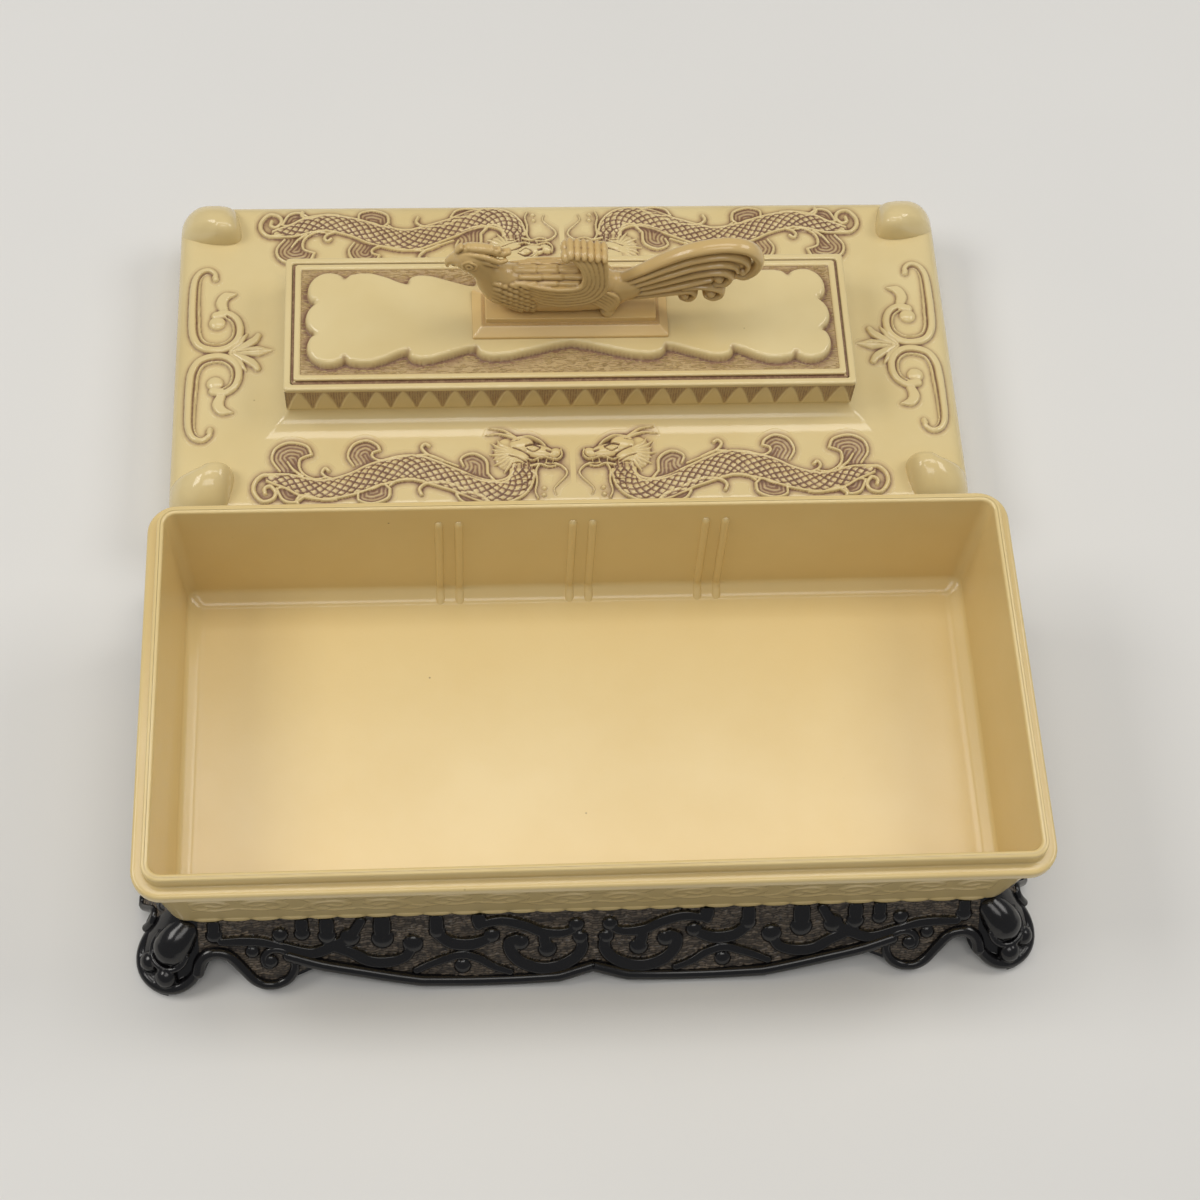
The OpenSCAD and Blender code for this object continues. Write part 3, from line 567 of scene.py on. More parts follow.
class Field:
    """A rounded figure as a sampled distance field, in millimetres."""

    CORNERS = np.array([(i, j, k) for i in (0, 1) for j in (0, 1) for k in (0, 1)])

    def __init__(self, low: Sequence[float], high: Sequence[float], cell: float) -> None:
        """Starts empty.

        Args:
            low, high: Corners of the sampled box.
            cell: Spacing of the samples.
        """
        self.low, self.cell = np.array(low, float), cell
        self.axes = [np.arange(low[k], high[k] + cell / 2, cell) for k in range(3)]
        self.f = np.full([len(a) for a in self.axes], 9.0)

    def _window(self, low: Array, high: Array) -> tuple[tuple[slice, ...], list[Array]]:
        """Returns the slices between two corners, and the coordinates in them shaped for sums."""
        win = tuple(
            slice(int(np.searchsorted(a, low[k])), int(np.searchsorted(a, high[k]))) for k, a in enumerate(self.axes)
        )
        shapes = ((-1, 1, 1), (1, -1, 1), (1, 1, -1))
        return win, [a[w].reshape(s) for a, w, s in zip(self.axes, win, shapes)]

    def ball(self, at: Sequence[float], size: Sequence[float], blend: float = 0.0) -> None:
        """Adds an ellipsoid.

        Args:
            at: Its middle.
            size: Its three radii.
            blend: How softly it joins what is there.
        """
        at, size = np.array(at, float), np.array(size, float)
        win, (x, y, z) = self._window(at - size - 2 - blend, at + size + 2 + blend)
        q = np.sqrt(((x - at[0]) / size[0]) ** 2 + ((y - at[1]) / size[1]) ** 2 + ((z - at[2]) / size[2]) ** 2)
        self._join(win, (q - 1) * size.min(), blend)

    def tube(self, points: Points, blend: float = 0.0, breadth: float = 1.0, cut: bool = False) -> None:
        """Adds a tapering tube along a curve, or cuts it out.

        Args:
            points: Points x, y, z and radius.
            blend: How softly it joins what is there.
            breadth: How much wider than high it is across Y.
            cut: Takes it away instead.
        """
        path = curve(points, 0.6, 3)
        wide = np.array([1, breadth, 1])
        margin = wide * path[:, 3].max() + 1.5 + blend
        win, (x, y, z) = self._window(path[:, :3].min(0) - margin, path[:, :3].max(0) + margin)
        d = np.full([w.stop - w.start for w in win], 9.0)
        for (ax, ay, az, ar), (bx, by, bz, br) in zip(path[:-1], path[1:]):
            r = max(ar, br)
            low = np.minimum((ax, ay, az), (bx, by, bz)) - wide * r - 1.2 - blend
            high = np.maximum((ax, ay, az), (bx, by, bz)) + wide * r + 1.2 + blend
            sub, (u, v, w) = self._window(low, high)
            inner = tuple(slice(s.start - o.start, s.stop - o.start) for s, o in zip(sub, win))
            inner = tuple(slice(max(s.start, 0), max(s.stop, 0)) for s in inner)
            run = np.array([bx - ax, by - ay, bz - az])
            t = (u - ax) * run[0] + (v - ay) * run[1] / breadth**2 + (w - az) * run[2]
            t = np.clip(t / (run[0] ** 2 + (run[1] / breadth) ** 2 + run[2] ** 2 + 1e-9), 0, 1)
            gap = (u - ax - t * run[0]) ** 2 + ((v - ay - t * run[1]) / breadth) ** 2 + (w - az - t * run[2]) ** 2
            part = np.sqrt(gap) - (ar + t * (br - ar))
            target = d[inner]
            d[inner] = np.minimum(target, part[: target.shape[0], : target.shape[1], : target.shape[2]])
        self._join(win, d, blend, cut)

    def _join(self, win: tuple[slice, ...], d: Array, blend: float, cut: bool = False) -> None:
        """Joins a distance to the field in a window, or cuts it out, softly over blend."""
        here = self.f[win]
        if cut:
            self.f[win] = np.maximum(here, -d)
        elif blend:
            h = np.clip(0.5 + 0.5 * (here - d) / blend, 0, 1)
            self.f[win] = here + (d - here) * h - blend * h * (1 - h)
        else:
            self.f[win] = np.minimum(here, d)

    def face(self, x: float, z: float) -> float:
        """Returns how far the figure reaches along Y at x and z."""
        i, k = (int(np.argmin(np.abs(a - v))) for a, v in ((self.axes[0], x), (self.axes[2], z)))
        held = np.flatnonzero(self.f[i, :, k] < 0)
        return float(self.axes[1][held[-1]]) + self.cell / 2 if len(held) else 0.0

    def above(self, z: float) -> None:
        """Cuts the figure off flat under a height."""
        self.f = np.maximum(self.f, z - self.axes[2][None, None, :])

    def mesh(self, stain_gain: float = 0.0) -> Draft:
        """Skins the figure.

        Args:
            stain_gain: How dark hollows are stained.
        Returns:
            A closed skin.
        """
        inside = self.f < 0
        shape = np.array(inside.shape) - 1
        total = sum(
            inside[i : i + shape[0], j : j + shape[1], k : k + shape[2]].astype(np.int8) for i, j, k in self.CORNERS
        )
        cells = np.argwhere((total > 0) & (total < 8))
        number = np.full(shape, -1)
        number[tuple(cells.T)] = np.arange(len(cells))
        values = np.stack([self.f[tuple((cells + c).T)] for c in self.CORNERS], 1)
        where, weight = np.zeros((len(cells), 3)), np.zeros(len(cells))
        for a in range(8):
            for b in range(a + 1, 8):
                if np.abs(self.CORNERS[a] - self.CORNERS[b]).sum() != 1:
                    continue
                crossed = (values[:, a] < 0) != (values[:, b] < 0)
                t = np.where(crossed, values[:, a] / (values[:, a] - values[:, b] + 1e-12), 0)
                where += crossed[:, None] * (self.CORNERS[a] + t[:, None] * (self.CORNERS[b] - self.CORNERS[a]))
                weight += crossed
        points = self.low + self.cell * (cells + where / weight[:, None])
        quads = []
        for axis in range(3):
            u, v = (axis + 1) % 3, (axis + 2) % 3
            here, there = [slice(1, -1)] * 3, [slice(1, -1)] * 3
            here[axis], there[axis] = slice(0, -1), slice(1, None)
            a, b = inside[tuple(here)], inside[tuple(there)]
            edges = np.argwhere(a != b)
            base = edges.copy()
            base[:, u] += 1
            base[:, v] += 1
            loop = []
            for du, dv in ((-1, -1), (0, -1), (0, 0), (-1, 0)):
                cell = base.copy()
                cell[:, u] += du
                cell[:, v] += dv
                loop.append(number[tuple(cell.T)])
            loop = np.stack(loop, 1)
            outward = a[tuple(edges.T)]
            quads.append(np.where(outward[:, None], loop, loop[:, ::-1]))
        draft = Draft(points, np.vstack(quads))
        if stain_gain:
            draft.stain = hollows(draft, stain_gain)
        return draft


def hollows(draft: Draft, gain: float, rounds: int = 5) -> Array:
    """Finds the hollows of a skin of quads.

    Args:
        draft: The skin.
        gain: How dark they are.
        rounds: How far the look around goes.
    Returns:
        Stain from 0 to 1 for each point.
    """
    a = draft.quads.ravel()
    b = np.roll(draft.quads, -1, axis=1).ravel()
    n = len(draft.points)
    degree = np.bincount(a, minlength=n) + np.bincount(b, minlength=n)
    p = draft.points
    diagonals = np.cross(p[draft.quads[:, 2]] - p[draft.quads[:, 0]], p[draft.quads[:, 3]] - p[draft.quads[:, 1]])
    normal = np.stack([np.bincount(a, np.repeat(diagonals[:, k], 4), n) for k in range(3)], 1)
    normal /= np.linalg.norm(normal, axis=1)[:, None] + 1e-12
    soft = p
    for _ in range(rounds):
        soft = np.stack(
            [(np.bincount(a, soft[b, k], n) + np.bincount(b, soft[a, k], n)) / degree for k in range(3)], 1
        )
    return np.clip(gain * ((soft - p) * normal).sum(1), 0, 1)


# ---- node trees


class Tree:
    """Short-hand for building a node tree."""

    def __init__(self, tree: bpy.types.NodeTree) -> None:
        """Takes the tree to build in."""
        self.tree = tree

    def add(self, kind: str, inputs: dict | None = None, **settings: object) -> bpy.types.Node:
        """Adds a node.

        Args:
            kind: Its type.
            inputs: Values or sockets for its inputs, by name or number.
            settings: Its own settings.
        Returns:
            The node.
        """
        node = self.tree.nodes.new(kind)
        for key, value in settings.items():
            setattr(node, key, value)
        for key, value in (inputs or {}).items():
            if isinstance(value, Socket):
                self.tree.links.new(value, node.inputs[key])
            else:
                node.inputs[key].default_value = value
        return node

    def out(self, kind: str, output: str, inputs: dict | None = None, **settings: object) -> Socket:
        """Adds a node and returns one of its outputs."""
        return self.add(kind, inputs, **settings).outputs[output]


class Grower(Tree):
    """A Geometry Nodes tree with named inputs that turns given points or paths into a plain mesh."""

    KINDS = {
        "Unit": "Object", "Count": "Int", "Seed": "Int", "Sides": "Int", "Radius": "Float", "Ball": "Float",
        "Finish": "Material",
    }

    def __init__(self, name: str, *inputs: str) -> None:
        """Starts a tree.

        Args:
            name: Its name.
            inputs: Names of its inputs, which come between the geometry and the finish.
        """
        super().__init__(bpy.data.node_groups.new(name, "GeometryNodeTree"))
        face, geometry = self.tree.interface, "NodeSocketGeometry"
        face.new_socket("Geometry", in_out="INPUT", socket_type=geometry)
        self.ids = {}
        for key in (*inputs, "Finish"):
            kind = "NodeSocket" + self.KINDS.get(key, "Vector")
            self.ids[key] = face.new_socket(key, in_out="INPUT", socket_type=kind).identifier
        face.new_socket("Geometry", in_out="OUTPUT", socket_type=geometry)
        self.given = self.add("NodeGroupInput").outputs

    def close(self, geometry: Socket) -> None:
        """Ends the tree: instances are made real and the finish is set."""
        real = self.out("GeometryNodeRealizeInstances", "Geometry", {"Geometry": geometry})
        done = self.out("GeometryNodeSetMaterial", "Geometry", {"Geometry": real, "Material": self.given["Finish"]})
        self.add("NodeGroupOutput", {0: done})

    def grow(self, seats: bpy.types.Mesh, unit: Draft | None = None, **values: object) -> Draft:
        """Runs the tree on a mesh, which it uses up.

        Args:
            seats: The points or paths that it starts from.
            unit: What it repeats, if it repeats anything.
            values: Its other inputs by name.
        Returns:
            What it makes.
        """
        holders = [bpy.data.objects.new("seats", seats)]
        if unit is not None:
            holders.append(bpy.data.objects.new("unit", unit.to_mesh("unit")))
            values["Unit"] = holders[1]
        for holder in holders:
            bpy.context.scene.collection.objects.link(holder)
        grown = holders[0].modifiers.new("grow", "NODES")
        grown.node_group = self.tree
        for key, value in values.items():
            grown[self.ids[key]] = value
        view = bpy.context.evaluated_depsgraph_get()
        mesh = bpy.data.meshes.new_from_object(holders[0].evaluated_get(view), depsgraph=view)
        draft = Draft.from_mesh(mesh)
        holders[0].modifiers.remove(grown)
        spent = [mesh, *(holder.data for holder in holders)]
        for holder in holders:
            bpy.data.objects.remove(holder)
        for done in spent:
            bpy.data.meshes.remove(done)
        return draft


def row_grower() -> Grower:
    """Builds the tree that repeats a unit along a straight row.

    Returns:
        The tree, with inputs for the unit, the row's start, step, count and turn.
    """
    g = Grower("row_of_units", "Unit", "Count", "Start", "Step", "Turn")
    places = {"Count": g.given["Count"], "Start Location": g.given["Start"], "Offset": g.given["Step"]}
    line = g.out("GeometryNodeMeshLine", "Mesh", places, mode="OFFSET")
    unit = g.out("GeometryNodeObjectInfo", "Geometry", {"Object": g.given["Unit"]})
    placed = {"Points": line, "Instance": unit, "Rotation": g.given["Turn"]}
    g.close(g.out("GeometryNodeInstanceOnPoints", "Instances", placed))
    return g


def scatter_grower() -> Grower:
    """Builds the tree that puts a unit on given points, each a little turned and stretched at random.

    Returns:
        The tree, with inputs for the unit, the spread of its turn, its least and greatest size and the seed.
    """
    g = Grower("scattered_strokes", "Unit", "Least", "Most", "Spread", "Seed")
    unit = g.out("GeometryNodeObjectInfo", "Geometry", {"Object": g.given["Unit"]})
    back = g.out("ShaderNodeVectorMath", "Vector", {0: g.given["Spread"], 1: (-1, -1, -1)}, operation="MULTIPLY")
    size, turn = (
        g.out(
            "FunctionNodeRandomValue", "Value", {"Min": low, "Max": high, "Seed": g.given["Seed"]},
            data_type="FLOAT_VECTOR",
        )
        for low, high in ((g.given["Least"], g.given["Most"]), (back, g.given["Spread"]))
    )
    placed = {"Points": g.given["Geometry"], "Instance": unit, "Rotation": turn, "Scale": size}
    g.close(g.out("GeometryNodeInstanceOnPoints", "Instances", placed))
    return g


def sweep_grower() -> Grower:
    """Builds the tree that sweeps a round moulding along paths and closes their ends with balls.

    Returns:
        The tree, with inputs for the moulding's radius, its sides and the share of the end balls.
    """
    g = Grower("swept_moulding", "Radius", "Sides", "Ball")
    path = g.out("GeometryNodeMeshToCurve", "Curve", {"Mesh": g.given["Geometry"]})
    share = g.out("GeometryNodeInputNamedAttribute", "Attribute", {"Name": "share"}, data_type="FLOAT")
    size = g.out("ShaderNodeMath", "Value", {0: share, 1: g.given["Radius"]}, operation="MULTIPLY")
    kept = g.out("GeometryNodeSetCurveRadius", "Curve", {"Curve": path, "Radius": share})
    circle = {"Resolution": g.given["Sides"], "Radius": g.given["Radius"]}
    section = g.out("GeometryNodeCurvePrimitiveCircle", "Curve", circle)
    swept = g.add("GeometryNodeCurveToMesh", {"Curve": kept, "Profile Curve": section, "Fill Caps": True})
    if "Scale" in swept.inputs:
        g.tree.links.new(share, swept.inputs["Scale"])
    ends = g.out("GeometryNodeCurveEndpointSelection", "Selection")
    ball = g.out("GeometryNodeMeshUVSphere", "Mesh", {"Segments": 16, "Rings": 10, "Radius": 1.0})
    wide = g.out("ShaderNodeMath", "Value", {0: size, 1: g.given["Ball"]}, operation="MULTIPLY")
    capped = {"Points": kept, "Selection": ends, "Instance": ball, "Scale": wide}
    balls = g.out("GeometryNodeInstanceOnPoints", "Instances", capped)
    both = g.add("GeometryNodeJoinGeometry")
    for part in (swept.outputs["Mesh"], balls):
        g.tree.links.new(part, both.inputs[0])
    g.close(both.outputs["Geometry"])
    return g


def seats_mesh(points: Points = ((0, 0, 0),), share: Array | None = None) -> bpy.types.Mesh:
    """Makes loose points, or one open path where a share is given, for a tree to start from.

    Args:
        points: Places in millimetres.
        share: Share of the full radius at each point of a path.
    Returns:
        The mesh, in metres.
    """
    mesh = bpy.data.meshes.new("seats")
    links = [] if share is None else [(k, k + 1) for k in range(len(points) - 1)]
    mesh.from_pydata([tuple(p) for p in np.asarray(points) * MM], links, [])
    if share is not None:
        mesh.attributes.new("share", "FLOAT", "POINT").data.foreach_set("value", np.asarray(share, np.float32))
    return mesh


def rows_on_sides(
    rows: Grower, unit: Draft, count: int, pitch: float, away: float, turn: float, z: float, finish: bpy.types.Material
) -> list[Draft]:
    """Repeats a unit along two opposite sides.

    Args:
        rows: The tree that repeats it.
        unit: The unit, on a wall that faces -Y.
        count, pitch: Units in a row and the distance between them.
        away: Distance of the rows from the middle.
        turn: Turn of the first row in radians.
        z: Height of the rows.
        finish: Their material.
    Returns:
        The two rows.
    """
    first, out = -(count - 1) / 2 * pitch, []
    for a in (turn, turn + math.pi):
        c, s = math.cos(a), math.sin(a)
        start = ((first * c + away * s) * MM, (first * s - away * c) * MM, z * MM)
        step = (pitch * c * MM, pitch * s * MM, 0)
        out.append(rows.grow(seats_mesh(), unit, Count=count, Start=start, Step=step, Turn=(0, 0, a), Finish=finish))
    return out


# ---- finishes


def shade(red: int, green: int, blue: int) -> tuple[float, float, float, float]:
    """Returns a screen colour from 0 to 255 as linear light."""
    parts = (v / 255 for v in (red, green, blue))
    return (*(v / 12.92 if v <= 0.04045 else ((v + 0.055) / 1.055) ** 2.4 for v in parts), 1.0)


class Paint(Tree):
    """A material's node tree, from object coordinates to its shader."""

    def __init__(self, name: str) -> None:
        """Starts a material."""
        self.made = bpy.data.materials.new(name)
        self.made.use_nodes = True
        super().__init__(self.made.node_tree)
        self.shader = self.tree.nodes["Principled BSDF"]
        self.place = self.out("ShaderNodeTexCoord", "Object")

    def stain(self) -> Socket:
        """Returns the stain of the piece's points; on the stand it holds dust and painted glints."""
        return self.out("ShaderNodeAttribute", "Fac", attribute_name="stain")

    def noise(self, scale: float, detail: float, roughness: float = 0.5, place: Socket | None = None) -> Socket:
        """Returns a noise over the piece, or over another place."""
        inputs = {"Vector": place or self.place, "Scale": scale, "Detail": detail, "Roughness": roughness}
        return self.out("ShaderNodeTexNoise", "Fac", inputs)

    def span(self, value: Socket, low: float = 0.0, high: float = 1.0, first: float = 0.0, last: float = 1.0) -> Socket:
        """Returns a value moved from the range low to high into the range first to last."""
        inputs = {"Value": value, "From Min": low, "From Max": high, "To Min": first, "To Max": last}
        return self.out("ShaderNodeMapRange", "Result", inputs)

    def sum(self, operation: str, *values: Socket | float, clamp: bool = False) -> Socket:
        """Returns the result of an operation on values."""
        return self.out("ShaderNodeMath", "Value", dict(enumerate(values)), operation=operation, use_clamp=clamp)

    def mix(self, share: Socket, a: Socket | tuple, b: Socket | tuple) -> Socket:
        """Returns a colour between two."""
        return self.out("ShaderNodeMix", "Result", {"Factor": share, "A": a, "B": b}, data_type="RGBA")

    def finish(
        self, colour: Socket, gloss: Socket | float, grain: Socket | None = None, bump: float = 0.0
    ) -> bpy.types.Material:
        """Dresses the shader.

        Args:
            colour: Its colour.
            gloss: Its roughness.
            grain: Heights of its grain.
            bump: How strong the grain is.
        Returns:
            The material.
        """
        self.tree.links.new(colour, self.shader.inputs["Base Color"])
        if isinstance(gloss, Socket):
            self.tree.links.new(gloss, self.shader.inputs["Roughness"])
        else:
            self.shader.inputs["Roughness"].default_value = gloss
        if grain:
            felt = self.out("ShaderNodeBump", "Normal", {"Strength": bump, "Distance": 0.0004, "Height": grain})
            self.tree.links.new(felt, self.shader.inputs["Normal"])
        return self.made


@dataclass(frozen=True)
class StainedPlastic:
    """Cream moulded plastic, polished, with brown stain where the attribute says and a little age."""

    name: str
    pale: tuple
    deep: tuple
    brown: tuple
    dark: tuple
    roughness: float
    specks: float = 0.45

    def material(self) -> bpy.types.Material:
        """Builds the material.

        Returns:
            The material.
        """
        p = Paint(self.name)
        clouds, grain = p.noise(22.0, 4.0, 0.55), p.noise(900.0, 3.0, 0.6)
        wiped = p.sum("MULTIPLY", p.stain(), p.span(grain, 0.3, 0.7, 0.82, 1.15), clamp=True)
        base = p.mix(p.span(clouds, 0.35, 0.7), self.pale, self.deep)
        stained = p.mix(p.span(wiped, 0.0, 0.62, 0.0, 0.96), base, p.mix(wiped, self.brown, self.dark))
        cells = p.out("ShaderNodeTexVoronoi", "Distance", {"Vector": p.place, "Scale": 95.0, "Randomness": 1.0})
        dots = p.span(cells, 0.035, 0.02, 0.0, self.specks)
        speck = p.sum("MULTIPLY", dots, p.span(p.noise(34.0, 1.0), 0.56, 0.62))
        wear = p.span(clouds, 0.0, 1.0, -0.05, 0.09)
        gloss = p.sum("ADD", p.span(wiped, 0.0, 1.0, self.roughness, 0.55), wear)
        return p.finish(p.mix(speck, stained, self.dark), gloss, grain, 0.04)


@dataclass(frozen=True)
class BlackPlastic:
    """Glossy black moulded plastic; where the attribute says, its hatched ground is duller, dusty and carries painted
    glints.
    """

    name: str = "ebony_gloss"
    black: tuple = shade(17, 16, 18)
    # pale grey brown of the ground: dust, and painted glints on the hatch crests
    dust_and_glint: tuple = shade(134, 118, 98)
    roughness: float = 0.16

    def material(self) -> bpy.types.Material:
        """Builds the material.

        Returns:
            The material.
        """
        p = Paint(self.name)
        grain, ground = p.noise(700.0, 4.0, 0.65), p.stain()
        # the ground takes the dust colour, which on the hatch crests is a painted glint
        share = p.sum("MULTIPLY", ground, p.span(grain, 0.22, 0.6))
        worn = p.span(p.noise(60.0, 3.0), 0.0, 1.0, self.roughness - 0.06, self.roughness + 0.12)
        gloss = p.sum("MULTIPLY_ADD", ground, 0.22, worn)
        return p.finish(p.mix(share, self.black, self.dust_and_glint), gloss, grain, 0.05)


@dataclass(frozen=True)
class PlainSteel:
    """Drawn steel with fine lines."""

    name: str = "steel_drawn"
    pale: tuple = shade(150, 150, 154)
    deep: tuple = shade(112, 111, 112)

    def material(self) -> bpy.types.Material:
        """Builds the material.

        Returns:
            The material.
        """
        p = Paint(self.name)
        drawn = p.out("ShaderNodeMapping", "Vector", {"Vector": p.place, "Scale": (60.0, 60.0, 4000.0)})
        lines = p.noise(1.0, 2.0, place=drawn)
        p.shader.inputs["Metallic"].default_value = 1.0
        return p.finish(p.mix(lines, self.pale, self.deep), p.span(lines, 0.0, 1.0, 0.25, 0.5))


class Finishes:
    """The materials of the part, made once."""

    def __init__(self) -> None:
        """Builds every finish."""
        brown, dark = shade(152, 112, 80), shade(104, 71, 52)
        pale, deep = shade(223, 204, 153), shade(216, 194, 139)
        self.ivory = StainedPlastic("ivory_stained", pale, deep, brown, dark, 0.09).material()
        # the tray's copy of the cream is yellower than the lid's: painted warmer light in the tray
        pale, deep = shade(223, 199, 141), shade(219, 193, 132)
        self.tray = StainedPlastic("ivory_tray", pale, deep, brown, dark, 0.16, 0.6).material()
        pale, deep, worn, black = shade(210, 182, 126), shade(198, 165, 105), shade(132, 95, 48), shade(96, 64, 30)
        self.tan = StainedPlastic("ivory_handle", pale, deep, worn, black, 0.15).material()
        # the plinth's copy of the cream, tinted orange: painted light thrown back from the cream round it
        pale, deep, worn = shade(226, 197, 138), shade(222, 188, 124), shade(170, 128, 74)
        self.ivory_painted_bounce = StainedPlastic("ivory_orange", pale, deep, worn, dark, 0.11).material()
        self.ebony = BlackPlastic().material()
        self.steel = PlainSteel().material()


# ---- tray


@dataclass
class Tray:
    """Moulded tray: rim, ledge, lip, leaning walls, paired ribs and a scalloped lower edge."""

    rim: tuple[float, float] = (125.0, 59.5)
    rim_r: float = 8.5
    lip: tuple[float, float] = (121.7, 56.2)
    well: tuple[float, float] = (119.7, 54.2)
    foot: tuple[float, float] = (117.3, 49.4)
    base: tuple[float, float] = (120.1, 52.2)
    base_z: float = 19.0
    floor_z: float = 21.4
    ledge_z: float = 59.0
    lip_z: float = 63.5
    rib_r: float = 1.3
    rib_slot: float = 3.2
    rib_pitch: float = 39.0
    rib_top: float = 57.0
    scallop_pitch: float = 8.05
    slope_z: float = 2.5
    slope_in: float = 4.0
    flare: tuple[float, float, float] = (122.4, 56.9, 54.2)

    def shell(self) -> Draft:
        """Builds the tray's walls and floor.

        Returns:
            A closed shell.
        """
        corners = [
            (118.4, 50.5, 4.4, self.base_z),
            (*self.base, 6, self.base_z),
            (*self.flare[:2], 6.2, self.flare[2]),
            (*self.rim, self.rim_r, 55.6),
            (*self.rim, self.rim_r, self.ledge_z),
            (*self.lip, 5.2, self.ledge_z),
            (*self.lip, 5.2, self.lip_z),
            (*self.well, 3.4, self.lip_z),
            (*self.foot, 3.2, self.floor_z + self.slope_z),
            (self.foot[0] - self.slope_in, self.foot[1] - self.slope_in, 1.6, self.floor_z),
            (110, 42.1, 1.2, self.floor_z),
        ]
        return moulding(corners, (0, 0.7, 0.9, 0.6, 1.2, 0.45, 0.75, 0.75, 1.1, 1.3, 0), 5)

    def wall_at(self, z: float) -> float:
        """Returns how far the inside of a long wall is from the tray's middle at a height."""
        t = (z - self.floor_z) / (self.lip_z - self.floor_z)
        return self.foot[1] + t * (self.well[1] - self.foot[1])

    def rib_unit(self) -> Draft:
        """Builds one rib on the back wall, with a rounded top and a foot that runs into the floor.

        Returns:
            The rib, with x measured from its own middle.
        """
        rows = []
        heights = [*np.linspace(self.floor_z - 0.4, self.floor_z + 3.4, 6), *np.linspace(28, self.rib_top - 2, 6)]
        heights += [self.rib_top - 1.2, self.rib_top - 0.6, self.rib_top - 0.2, self.rib_top]
        angles = np.linspace(-0.15, math.pi + 0.15, 11)
        for z in heights:
            left = max(self.rib_top - z, 0)
            r = self.rib_r * math.sqrt(max(1 - max(1 - left / self.rib_r, 0) ** 2, 0.0004))
            fillet = self.slope_in * max(1 - max(z - self.floor_z, 0) / self.slope_z, 0)
            y = self.wall_at(z) - fillet + 0.15
            rows.append([(r * math.cos(a), y - r * math.sin(a), z) for a in angles])
        return Draft(np.array(rows).reshape(-1, 3), sheet_quads(len(rows), len(angles))[:, ::-1])

    def scallop_unit(self) -> Draft:
        """Builds one scallop of the lower edge, hanging on a wall that faces -Y.

        Returns:
            The scallop, with its middle at x 0.
        """
        half = self.scallop_pitch / 2
        rows = []
        for v in np.linspace(0, 1, 7):
            row = []
            for u in np.linspace(-1, 1, 11):
                sag = 0.75 * (1 - u * u)
                z = self.base_z + 3.6 - v * (3.3 + sag)
                proud = 0.1 + 0.55 * (1 - u**4) * ease(np.array(v * 1.6)) * math.sqrt(max(1 - (v * 0.98) ** 6, 0))
                row.append((u * half, -float(proud), z))
            rows.append(row)
        rows.append([(x, 0.5, z - 0.02) for x, _, z in rows[-1]])
        return Draft(np.array(rows).reshape(-1, 3), sheet_quads(len(rows), len(rows[0])))

    def build(self, rows: Grower, skin: Finishes) -> None:
        """Makes the tray's pieces.

        Args:
            rows: The tree that repeats a unit.
            skin: The finishes.
        """
        half_step = self.rib_r + self.rib_slot / 2
        ribs = [
            rows.grow(
                seats_mesh(), self.rib_unit(), Count=3, Start=((side * half_step - self.rib_pitch) * MM, 0, 0),
                Step=(self.rib_pitch * MM, 0, 0), Turn=(0, 0, 0), Finish=skin.tray,
            )
            for side in (-1, 1)
        ]
        body = Draft.joined([self.shell(), *ribs, *(r.mirrored(1, -1) for r in ribs)])
        body.to_piece("tray_moulding", skin.tray, Part.TRAY, 50)
        edge = []
        for count, turn, out in ((28, 0.0, self.base[1]), (12, math.pi / 2, self.base[0])):
            edge += rows_on_sides(rows, self.scallop_unit(), count, self.scallop_pitch, out, turn, 0.0, skin.tray)
        Draft.joined(edge).to_piece("tray_scallops", skin.tray, Part.TRAY, 60)
        self.clouds(skin)

    def clouds(self, skin: Finishes) -> None:
        """Makes the faint scrolling clouds on the tray's outer walls.

        Args:
            skin: The finishes.
        """
        low, high = np.array([*self.base, self.base_z]), np.array(self.flare)
        bend = [(0, -6), (6, -7.5), (11, -3.5), (10, 2.5), (4.5, 4), (1.8, 0.5), (4, -2.2), (6.5, -0.5)]
        wisp = [(9, -5.5), (14, -8), (18, -6.5), (19.5, -3)]
        curl = [(10.5, 3.5), (14, 7), (13, 10.5), (9.5, 10), (9.5, 7.6)]
        strokes = (
            (bend, 1.2, 2.6, 0.22, (0.5, 1, 0.7)), (wisp, 0, 1.8, 0.18, (0.9, 0.3)), (curl, 0, 1.7, 0.18, (0.5, 0.9)),
        )
        for name, half, axis in (("long", 112.0, 1), ("end", 46.0, 0)):
            relief = Relief((-half, 24.0), (half, 52.0), 0.5)
            count = 3 if axis else 1
            for k in range(-count, count + 1):
                x, z = k * 33.0, 38.0 + (1.5 if k % 2 else -1.5)
                for s in (-1, 1):
                    for line, shift, width, height, ends in strokes:
                        relief.cord([(x + s * (a + shift), z + b) for a, b in line], width, height, ends=ends)
                relief.dome((x, z + 8.5), (2.6, 3.6), 0.2)
            stain = 0.45 * relief.stain(1.0, 1.2)

            def place(u: Array, z: Array, h: Array) -> Array:
                """Puts a point of the drawing on the leaning wall."""
                t = (z - low[2]) / (high[2] - low[2])
                out = low[axis] + t * (high[axis] - low[axis]) + h
                return np.stack([-u, out, z], 1) if axis else np.stack([out, u, z], 1)

            drawn = relief.mesh(place, stain)
            pair = Draft.joined([drawn, drawn.mirrored(-1, -1)])
            pair.to_piece(f"tray_clouds_{name}", skin.tray, Part.TRAY, 70)


# ---- stand


